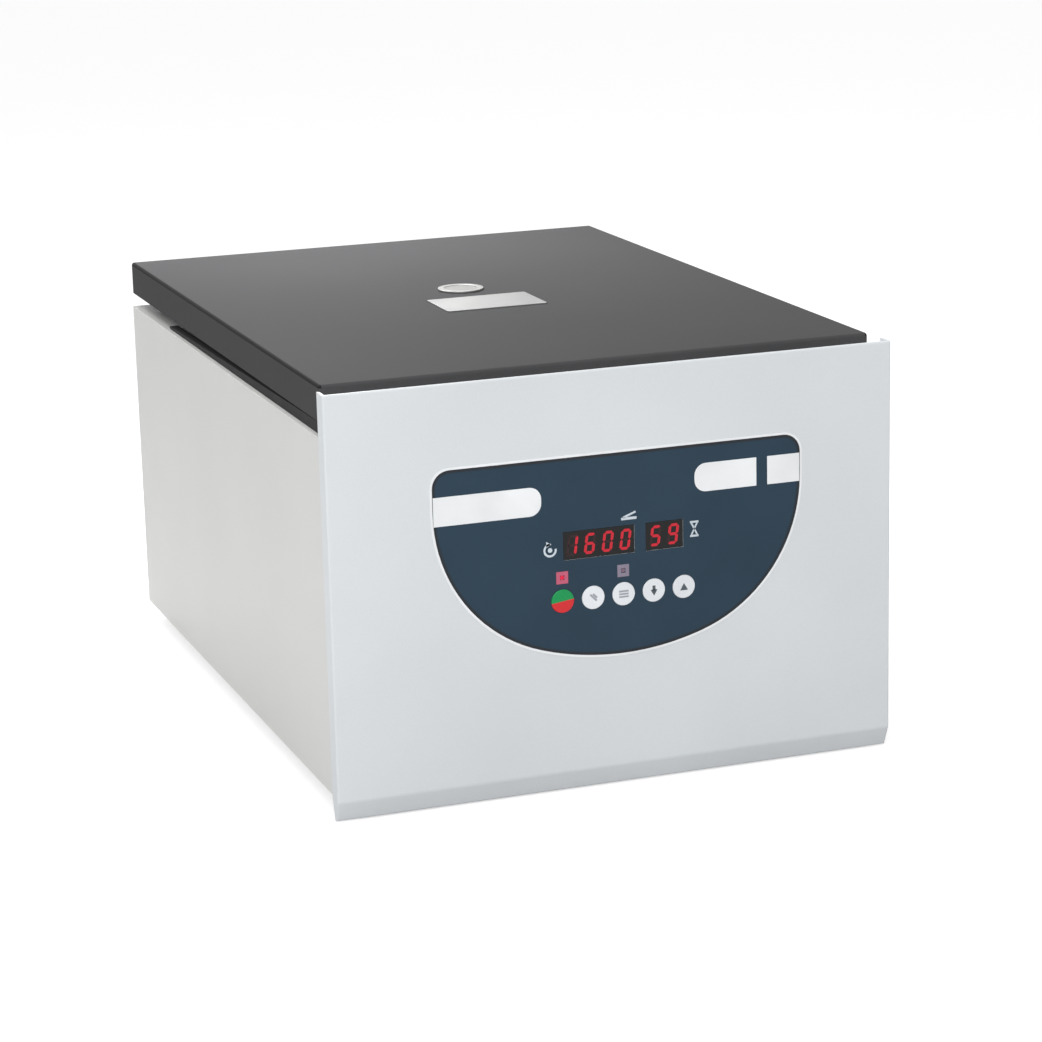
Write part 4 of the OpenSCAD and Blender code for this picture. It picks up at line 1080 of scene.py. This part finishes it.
class Hinges(bpy.types.Operator):
    """Hinge leaves of the cabinet and the lid, and their pins."""

    bl_idname = "centrifuge.hinges"
    bl_label = "Hinges"

    def execute(self, context):
        radius = context.scene.centrifuge_edges.fine_edge
        dressed("cabinet_hinge_leaves", hinge_steel, radius, 2)
        dressed("lid_hinge_leaves", hinge_steel, radius, 2)
        dressed("hinge_pins", bearing_steel, radius)
        return {"FINISHED"}


class Lock(bpy.types.Operator):
    """Lid lock with its bolt, motor and striker."""

    bl_idname = "centrifuge.lock"
    bl_label = "Lid lock"

    def execute(self, context):
        edges = context.scene.centrifuge_edges
        dressed("lock_housing", black_plastic, edges.sheet_edge)
        dressed("lock_motor", black_plastic, edges.rubber_edge * 0.6)
        dressed("lock_bolt", bearing_steel, edges.sheet_edge)
        dressed("lid_striker", screw_steel, edges.sheet_edge)
        return {"FINISHED"}


class Overlay(bpy.types.Operator):
    """Control overlay with its edge line, pale rim and marks."""

    bl_idname = "centrifuge.overlay"
    bl_label = "Control overlay"

    def execute(self, context):
        sizes = context.scene.centrifuge_print
        coated("control_overlay", overlay_film)
        coated("label_fields", white_print)
        line = outline_band("control_overlay", "overlay_edge_line", sizes.edge_line, False, sizes.ink)
        paint(line, edge_ink)
        belongs(line, "control_overlay")
        behind = 0.35 * MM
        rim = outline_band("control_overlay", "overlay_rim", sizes.rim, True, -behind)
        paint(rim, white_print)
        belongs(rim, "control_overlay")
        self.make_marks(sizes)
        return {"FINISHED"}

    def make_marks(self, sizes):
        """A turning arrow for the speed, an hourglass for the time and an open lid over them."""
        back, radius, line, ink = OVERLAY[0].y, sizes.mark, sizes.mark_line, sizes.ink
        middle = (DISPLAYS[0].z + DISPLAYS[1].z) / 2
        across = QUARTER_TURN
        x, z = DISPLAYS[0].x - 9.5 * MM, middle - 1.6 * MM
        speed = [
            ink_arc(x, z, radius, line, 0.0, math.radians(280), back, ink),
            ink_arc(x, z, 0.8 * MM, 1.6 * MM, 0.0, FULL_TURN, back, ink, 16),
            ink_arc(x - 1.4 * MM, z + radius, 1.2 * MM, 2.4 * MM, across, FULL_TURN, back, ink, 3),
        ]
        x, z = DISPLAYS[0].x + 46.6 * MM, DISPLAYS[1].z + 6.3 * MM
        lid = [
            ink_bar(x, z - 1.6 * MM, 11.0 * MM, line * 1.3, across, back, ink),
            ink_bar(x + 0.4 * MM, z + 0.9 * MM, 9.6 * MM, line, math.radians(70), back, ink),
        ]
        x, z = DISPLAYS[1].x + 8.1 * MM, middle + 1.9 * MM
        hourglass = [
            ink_bar(x, z + 4.8 * MM, 6.2 * MM, line, across, back, ink),
            ink_bar(x, z - 4.8 * MM, 6.2 * MM, line, across, back, ink),
            ink_bar(x, z, 9.4 * MM, line * 0.8, math.radians(27), back, ink),
            ink_bar(x, z, 9.4 * MM, line * 0.8, math.radians(-27), back, ink),
        ]
        for name, parts in (("speed_mark", speed), ("time_mark", hourglass), ("lid_mark", lid)):
            mark = joined(parts, name)
            paint(mark, mark_ink)
            belongs(mark, "label_fields")


class Displays(bpy.types.Operator):
    """Display modules, their digits and the two lamps."""

    bl_idname = "centrifuge.displays"
    bl_label = "Displays and lamps"

    def execute(self, context):
        scene = context.scene
        edges = scene.centrifuge_edges
        dressed("display_modules", display_black, edges.fine_edge)
        coated("lit_digits", lit_red)
        lamps = dressed("indicator_lamps", lamp_lit, edges.sheet_edge)
        low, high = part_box("indicator_lamps")
        repaint(lamps, lamp_off, lambda centre: centre.x > (low.x + high.x) / 2)
        radius = (high.z - low.z) / 2
        # The window round the lit lamp is painted pink with the lamp's light; the other keeps the film's
        # mauve.
        self.make_window(low.x + radius, low.z + radius, "lit_lamp_window", lit_window)
        self.make_window(high.x - radius, low.z + radius, "unlit_lamp_window", unlit_window)
        self.make_unlit_segments()
        return {"FINISHED"}

    def make_window(self, x, z, name, maker):
        """A square printed window round a lamp."""
        inner, outer = 2.2 * MM, 5.9 * MM
        window = ink_arc(
            x, z, (inner + outer) / 2, outer - inner, math.pi / 4, FULL_TURN, OVERLAY[0].y,
            bpy.context.scene.centrifuge_print.ink, 4,
        )
        window.name = window.data.name = name
        paint(window, maker)
        belongs(window, "indicator_lamps")

    def make_unlit_segments(self):
        """All the segments of the six digits, just proud of the dark display faces."""
        low, high = DISPLAYS
        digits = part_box("lit_digits")
        tall = digits[1].z - digits[0].z
        pitch, line, lean = 12.6 * MM, 1.9 * MM, math.tan(math.radians(8.0))
        wide, gap = 7.4 * MM, 0.25 * MM
        half_w, half_h = (wide - line) / 2, (tall - line) / 2
        middle = (low.z + high.z) / 2
        speed = low.x + 2 * pitch
        time = high.x - pitch - 0.8 * MM
        centres = [speed + (i - 1.5) * pitch for i in range(4)] + [time + (i - 0.5) * pitch for i in range(2)]
        places = [
            (0.0, half_h, False), (0.0, 0.0, False), (0.0, -half_h, False), (half_w, half_h / 2, True),
            (half_w, -half_h / 2, True), (-half_w, half_h / 2, True), (-half_w, -half_h / 2, True),
        ]
        segments = []
        for centre in centres:
            for across, up, upright in places:
                length = (tall - line) / 2 if upright else wide - line
                segment = self.unlit_segment(length - gap, line, upright)
                matrix = Matrix.Translation((across, 0.0, up))
                leaned = Matrix.Identity(4)
                leaned[0][2] = lean
                segment.data.transform(
                    Matrix.Translation((centre, low.y, middle)) @ leaned @ matrix
                )
                segments.append(segment)
        piece = joined(segments, "unlit_segments")
        paint(piece, unlit_red)
        belongs(piece, "display_modules")

    def unlit_segment(self, length, line, upright):
        """One six-sided bar about the origin, just proud of the display's face."""
        proud = 0.04 * MM
        select_none()
        to_corner = line / 2 / math.cos(math.radians(30))
        bpy.ops.mesh.primitive_circle_add(vertices=6, radius=to_corner, fill_type="NGON")
        piece = bpy.context.active_object
        for vertex in piece.data.vertices:
            vertex.co.x += math.copysign((length - line) / 2, vertex.co.x)
        piece.data.transform(
            Matrix.Rotation(QUARTER_TURN if upright else 0.0, 4, "Y") @ Matrix.Rotation(QUARTER_TURN, 4, "X")
        )
        edit(piece, "FACE")
        pull((0.0, -proud, 0.0))
        done_outward()
        return piece


class Keys(bpy.types.Operator):
    """Five round keys with their symbols."""

    bl_idname = "centrifuge.keys"
    bl_label = "Keys"

    def execute(self, context):
        scene = context.scene
        edges, sizes = scene.centrifuge_edges, scene.centrifuge_print
        for node in ("start_stop_key", "mode_key", "set_key", "down_key", "up_key"):
            low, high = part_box(node)
            cap = copy_of(node, node + "_cap")

            def on_cap(edge, front=low.y):
                return is_sharp(edge) and all(vertex.co.y < front + 0.01 * MM for vertex in edge.verts)

            round_edges(cap, edges.key_edge, on_cap, 4)
            round_edges(cap, edges.fine_edge * 0.5, is_sharp, 1)
            polish(cap)
            paint(cap, start_stop_cap if node == "start_stop_key" else key_cap)
            stand_in(cap, node)
            centre = (low + high) / 2
            strokes = self.strokes_of(node, centre.x, centre.z, low.y, sizes)
            if strokes:
                symbol = joined(strokes, node + "_symbol")
                paint(symbol, pale_ink if node in ("mode_key", "set_key") else symbol_ink)
                belongs(symbol, node)
        return {"FINISHED"}

    def strokes_of(self, node, x, z, back, sizes):
        """The printed strokes of a key's symbol: a slash, three lines, and arrows down and up."""
        ink, line, across = sizes.ink * 0.4, sizes.mark_line, QUARTER_TURN
        if node == "mode_key":
            return [
                ink_bar(x, z, 6.4 * MM, line, math.radians(-45), back, ink),
                ink_bar(x + 1.1 * MM, z + 1.1 * MM, 4.0 * MM, line, math.radians(-45), back, ink),
            ]
        if node == "set_key":
            return [ink_bar(x, z + i * 1.9 * MM, 6.8 * MM, line * 0.9, across, back, ink) for i in (-1, 0, 1)]
        if node == "down_key":
            return [
                ink_bar(x, z + 1.6 * MM, 3.4 * MM, 2.2 * MM, 0.0, back, ink),
                ink_arc(x, z - 0.9 * MM, 1.45 * MM, 2.9 * MM, math.pi, FULL_TURN, back, ink, 3),
            ]
        if node == "up_key":
            return [ink_arc(x, z - 0.8 * MM, 1.65 * MM, 3.3 * MM, 0.0, FULL_TURN, back, ink, 3)]
        return []


class Boards(bpy.types.Operator):
    """Circuit boards and what they carry."""

    bl_idname = "centrifuge.boards"
    bl_label = "Electronics"

    def execute(self, context):
        edges = context.scene.centrifuge_edges
        dressed("display_board", circuit_board, edges.fine_edge, 1)
        dressed("power_board", circuit_board, edges.fine_edge, 1)
        dressed("board_standoffs", brass, edges.fine_edge, 2)
        dressed("key_switches", black_plastic, edges.sheet_edge)
        parts = dressed("board_parts", cast_aluminium, edges.sheet_edge)
        parts_deep, sleeves_wide = 40 * MM, 58 * MM
        split_y = BOARD_PARTS[0].y + parts_deep
        split_x = BOARD_PARTS[0].x + sleeves_wide
        repaint(parts, capacitor_sleeve, lambda centre: centre.y < split_y and centre.x < split_x)
        repaint(parts, copper, lambda centre: centre.y < split_y and centre.x > split_x)
        dressed("transformer", lamination, edges.rubber_edge * 0.6)
        dressed("ribbon_cable", cable_grey, edges.fine_edge, 2)
        return {"FINISHED"}


class PowerEntry(bpy.types.Operator):
    """Mains inlet and power switch."""

    bl_idname = "centrifuge.power_entry"
    bl_label = "Inlet and switch"

    def execute(self, context):
        edges = context.scene.centrifuge_edges
        inlet = dressed("power_inlet", black_plastic, edges.fine_edge, 2)
        middle = (INLET[0] + INLET[1]) / 2
        face = INLET[1].y
        half_wide, half_high = 9.5 * MM, 5.5 * MM
        deepest, shallowest = 17 * MM, 1.9 * MM

        def is_blade(centre):
            return (
                abs(centre.x - middle.x) < half_wide and abs(centre.z - middle.z) < half_high
                and face - deepest < centre.y < face - shallowest
            )

        repaint(inlet, screw_steel, is_blade)
        dressed("switch_frame", black_plastic, edges.fine_edge, 2)
        dressed("power_rocker", black_plastic, edges.sheet_edge)
        self.make_switch_marks(context.scene.centrifuge_print)
        return {"FINISHED"}

    def make_switch_marks(self, sizes):
        """The line and ring of on and off, printed on the two slopes of the rocker."""
        tilt = next(joint for joint in frame["joints"] if joint["child"] == "power_rocker")
        rest_tilt, slope, line = math.radians(12), math.radians(7.1), 0.9 * MM
        proud, apart = 3.75 * MM, 6 * MM
        marks = {
            1: ink_bar(0.0, 0.0, 4.6 * MM, line, 0.0, 0.0, sizes.ink),
            -1: ink_arc(0.0, 0.0, 2.1 * MM, line, 0.0, FULL_TURN, 0.0, sizes.ink, 32),
        }
        for side, mark in marks.items():
            mark.data.transform(
                Matrix.Translation(tilt["pos_m"]) @ Matrix.Rotation(rest_tilt, 4, "X")
                @ Matrix.Translation((0.0, proud, side * apart))
                @ Matrix.Rotation(-side * slope, 4, "X") @ Matrix.Rotation(math.pi, 4, "Z")
            )
        both = joined(list(marks.values()), "switch_marks")
        paint(both, white_print)
        belongs(both, "power_rocker")


class Rotor(bpy.types.Operator):
    """Rotor with its shaft, dishes, shields and numbered places."""

    bl_idname = "centrifuge.rotor"
    bl_label = "Rotor"

    def execute(self, context):
        scene = context.scene
        edges = scene.centrifuge_edges
        dressed("drive_shaft", bearing_steel, edges.sheet_edge)
        dressed("armature", lamination, edges.fine_edge)
        dressed("rotor_hub", cast_aluminium, edges.sheet_edge)
        dressed("upper_dish", spun_steel, edges.sheet_edge)
        dressed("lower_dish", spun_steel, edges.sheet_edge)
        dressed("tube_shields", shield_steel, edges.sheet_edge)
        dressed("tube_cushions", rubber, edges.sheet_edge)
        dressed("rotor_nut", screw_steel, edges.sheet_edge)
        self.make_numbers(scene.centrifuge_print)
        return {"FINISHED"}

    def make_numbers(self, sizes):
        """A plain number beside each tube place, raised on the upper dish."""
        flat_z = UPPER_DISH[0].z + 2 * MM
        places, radius, raised = 8, 25 * MM, 0.1 * MM
        numbers = []
        for place in range(places):
            select_none()
            bpy.ops.object.text_add(location=(0.0, 0.0, 0.0))
            text = bpy.context.active_object
            text.data.body = str(place + 1)
            text.data.size = sizes.number
            text.data.extrude = raised
            text.data.resolution_u = 3
            text.data.align_x = "CENTER"
            text.data.align_y = "CENTER"
            bpy.ops.object.convert(target="MESH")
            turn = FULL_TURN * place / places
            text.data.transform(
                Matrix.Translation((0.0, AXIS_Y, flat_z + raised))
                @ Matrix.Rotation(turn, 4, "Z")
                @ Matrix.Translation((radius, 0.0, 0.0))
                @ Matrix.Rotation(QUARTER_TURN, 4, "Z")
            )
            numbers.append(text)
        piece = joined(numbers, "place_numbers")
        paint(piece, black_plastic)
        belongs(piece, "upper_dish")


class LidPieces(bpy.types.Operator):
    """Lid tray, its inner cover and the bare plate."""

    bl_idname = "centrifuge.lid"
    bl_label = "Lid"

    def execute(self, context):
        edges = context.scene.centrifuge_edges
        low, high = LID
        tray = copy_of("lid_shell", "lid_shell_rounded")

        def is_top_fold(edge):
            middle = (edge.verts[0].co + edge.verts[1].co) / 2
            at_side = abs(abs(middle.x) - high.x) < ALIGN
            at_end = min(abs(middle.y - low.y), abs(middle.y - high.y)) < ALIGN
            return abs(middle.z - high.z) < ALIGN and (at_side or at_end)

        def is_corner(edge):
            first, second = (vertex.co for vertex in edge.verts)
            at_side = abs(abs(first.x) - high.x) < ALIGN
            at_end = min(abs(first.y - low.y), abs(first.y - high.y)) < ALIGN
            return at_side and at_end and abs(first.z - second.z) > 5 * MM

        round_edges(tray, edges.lid_bend, lambda edge: is_top_fold(edge) or is_corner(edge), 5)
        round_edges(tray, edges.fine_edge, is_sharp, 2)
        polish(tray)
        paint(tray, lid_paint)

        def on_side_fold(centre):
            return high.x - abs(centre.x) < edges.lid_bend and high.z - centre.z < edges.lid_bend

        # The side folds get the painted dark reflection: the lid's paint made darker on the bend's faces.
        repaint(tray, lid_fold, on_side_fold)
        stand_in(tray, "lid_shell")
        dressed("lid_liner", spun_steel, edges.fine_edge, 2)
        dressed("lid_plate", brushed_plate, edges.fine_edge)
        return {"FINISHED"}


class Viewport(bpy.types.Operator):
    """Viewport's bezel and lens."""

    bl_idname = "centrifuge.viewport"
    bl_label = "Viewport"

    def execute(self, context):
        edges = context.scene.centrifuge_edges
        dressed("viewport_bezel", bezel_metal, edges.sheet_edge)
        dressed("viewport_lens", frosted_lens, edges.fine_edge)
        return {"FINISHED"}


def area_lamp(name, place, aim, size, power):
    """A soft square lamp at a place, aimed at a point."""
    data = bpy.data.lights.new(name, "AREA")
    data.shape = "SQUARE"
    data.size = size
    data.energy = power
    lamp = bpy.data.objects.new(name, data)
    lamp.location = place
    lamp.rotation_euler = (Vector(aim) - Vector(place)).to_track_quat("-Z", "Y").to_euler()
    bpy.context.scene.collection.objects.link(lamp)
    return lamp


class Stage(bpy.types.Operator):
    """Floor, lamps, world and camera."""

    bl_idname = "centrifuge.stage"
    bl_label = "Stage"

    def execute(self, context):
        scene = context.scene
        settings = scene.centrifuge_stage
        self.make_floor(settings)
        self.make_world(scene, settings)
        area_lamp("top_lamp", (-0.3, 0.6, 2.2), (0.0, 0.0, 0.2), 1.8, 14.0)
        area_lamp("left_lamp", (-2.0, 0.9, 1.3), (-0.2, 0.1, 0.15), 1.4, 9.0)
        area_lamp("front_lamp", (-0.9, -2.2, 1.5), (0.0, -0.25, 0.15), 1.4, 33.5)
        rear_lamp = area_lamp("rear_lamp", (-0.05, 0.4, 0.68), (0.0, 0.2, 0.29), 0.25, 4.0)
        rear_lamp.visible_camera = False
        self.make_camera(scene, settings)
        scene.view_settings.view_transform = "Standard"
        return {"FINISHED"}

    def make_floor(self, settings):
        """A wide floor that looks white to the camera and keeps the shadow."""
        select_none()
        bpy.ops.mesh.primitive_plane_add(size=24.0, location=(0.0, 0.0, -0.0002))
        floor = bpy.context.active_object
        floor.name = "floor"
        material = bpy.data.materials.new("floor")
        material.use_nodes = True
        tree = material.node_tree
        shader = tree.nodes["Principled BSDF"]
        shader.inputs["Base Color"].default_value = (*settings.floor, 1.0)
        shader.inputs["Roughness"].default_value = 0.9
        shader.inputs["Specular IOR Level"].default_value = 0.1
        shader.inputs["Emission Color"].default_value = WHITE
        rays = node_in(tree, "LightPath")
        glow_level = node_in(tree, "Math", operation="MULTIPLY")
        glow_level.inputs[1].default_value = settings.floor_glow
        tree.links.new(rays.outputs["Is Camera Ray"], glow_level.inputs[0])
        tree.links.new(glow_level.outputs["Value"], shader.inputs["Emission Strength"])
        floor.data.materials.append(material)

    def make_world(self, scene, settings):
        """Even light for the object, white where the camera and reflections see it."""
        world = bpy.data.worlds.new("studio")
        world.use_nodes = True
        scene.world = world
        tree = world.node_tree
        tree.nodes.clear()
        rays = node_in(tree, "LightPath")
        seen = node_in(tree, "Math", operation="ADD")
        either = node_in(tree, "Math", operation="ADD", use_clamp=True)
        even = node_in(tree, "Background")
        even.inputs["Strength"].default_value = settings.world
        white = node_in(tree, "Background")
        for light in (even, white):
            light.inputs["Color"].default_value = WHITE
        pick = node_in(tree, "MixShader")
        output = node_in(tree, "OutputWorld")
        link = tree.links.new
        link(rays.outputs["Is Camera Ray"], seen.inputs[0])
        link(rays.outputs["Is Glossy Ray"], seen.inputs[1])
        link(seen.outputs["Value"], either.inputs[0])
        link(rays.outputs["Is Transmission Ray"], either.inputs[1])
        link(either.outputs["Value"], pick.inputs[0])
        link(even.outputs["Background"], pick.inputs[1])
        link(white.outputs["Background"], pick.inputs[2])
        link(pick.outputs["Shader"], output.inputs["Surface"])

    def make_camera(self, scene, settings):
        """Camera at the photograph's place and angle."""
        yaw, pitch, roll = settings.yaw, settings.pitch, settings.roll
        ahead = Vector((
            math.sin(yaw) * math.cos(pitch), math.cos(yaw) * math.cos(pitch), -math.sin(pitch),
        ))
        level = Vector((math.cos(yaw), -math.sin(yaw), 0.0))
        above = level.cross(ahead)
        right = math.cos(roll) * level + math.sin(roll) * above
        up = -math.sin(roll) * level + math.cos(roll) * above
        data = bpy.data.cameras.new("camera")
        data.lens = settings.lens
        data.sensor_width = 36.0
        camera = bpy.data.objects.new("camera", data)
        turn = Matrix((right, up, -ahead)).transposed().to_4x4()
        camera.matrix_world = Matrix.Translation(settings.camera_at) @ turn
        scene.collection.objects.link(camera)
        scene.camera = camera


class CentrifugePanel(bpy.types.Panel):
    """Lists the operators in the order in which they are run."""

    bl_idname = "VIEW3D_PT_centrifuge"
    bl_label = "Bench centrifuge"
    bl_space_type = "VIEW_3D"
    bl_region_type = "UI"
    bl_category = "Centrifuge"

    def draw(self, context):
        for operator in OPERATORS:
            self.layout.operator(operator.bl_idname)
        for name in SETTINGS:
            settings = getattr(context.scene, name)
            self.layout.label(text=name.replace("_", " ").capitalize())
            for key in settings.bl_rna.properties.keys():
                if key not in {"rna_type", "name"}:
                    self.layout.prop(settings, key)


SETTINGS = {
    "centrifuge_paint": CentrifugePaint,
    "centrifuge_edges": CentrifugeEdges,
    "centrifuge_print": CentrifugePrint,
    "centrifuge_stage": CentrifugeStage,
}
OPERATORS = (
    FrontPanel, SidePanels, RearPanel, Underside, Fasteners, Chamber, Motor, Hinges, Lock, Overlay,
    Displays, Keys, Boards, PowerEntry, Rotor, LidPieces, Viewport, Stage,
)


def register():
    """Adds the classes and the scene's settings."""
    for entry in (*SETTINGS.values(), *OPERATORS, CentrifugePanel):
        bpy.utils.register_class(entry)
    for name, group in SETTINGS.items():
        setattr(bpy.types.Scene, name, bpy.props.PointerProperty(type=group))


def unregister():
    """Takes them away again."""
    for name in SETTINGS:
        delattr(bpy.types.Scene, name)
    for entry in reversed((*SETTINGS.values(), *OPERATORS, CentrifugePanel)):
        bpy.utils.unregister_class(entry)


def main():
    """Makes every piece and the stage."""
    register()
    for operator in OPERATORS:
        group, name = operator.bl_idname.split(".")
        getattr(getattr(bpy.ops, group), name)()


if __name__ == "__main__":
    main()
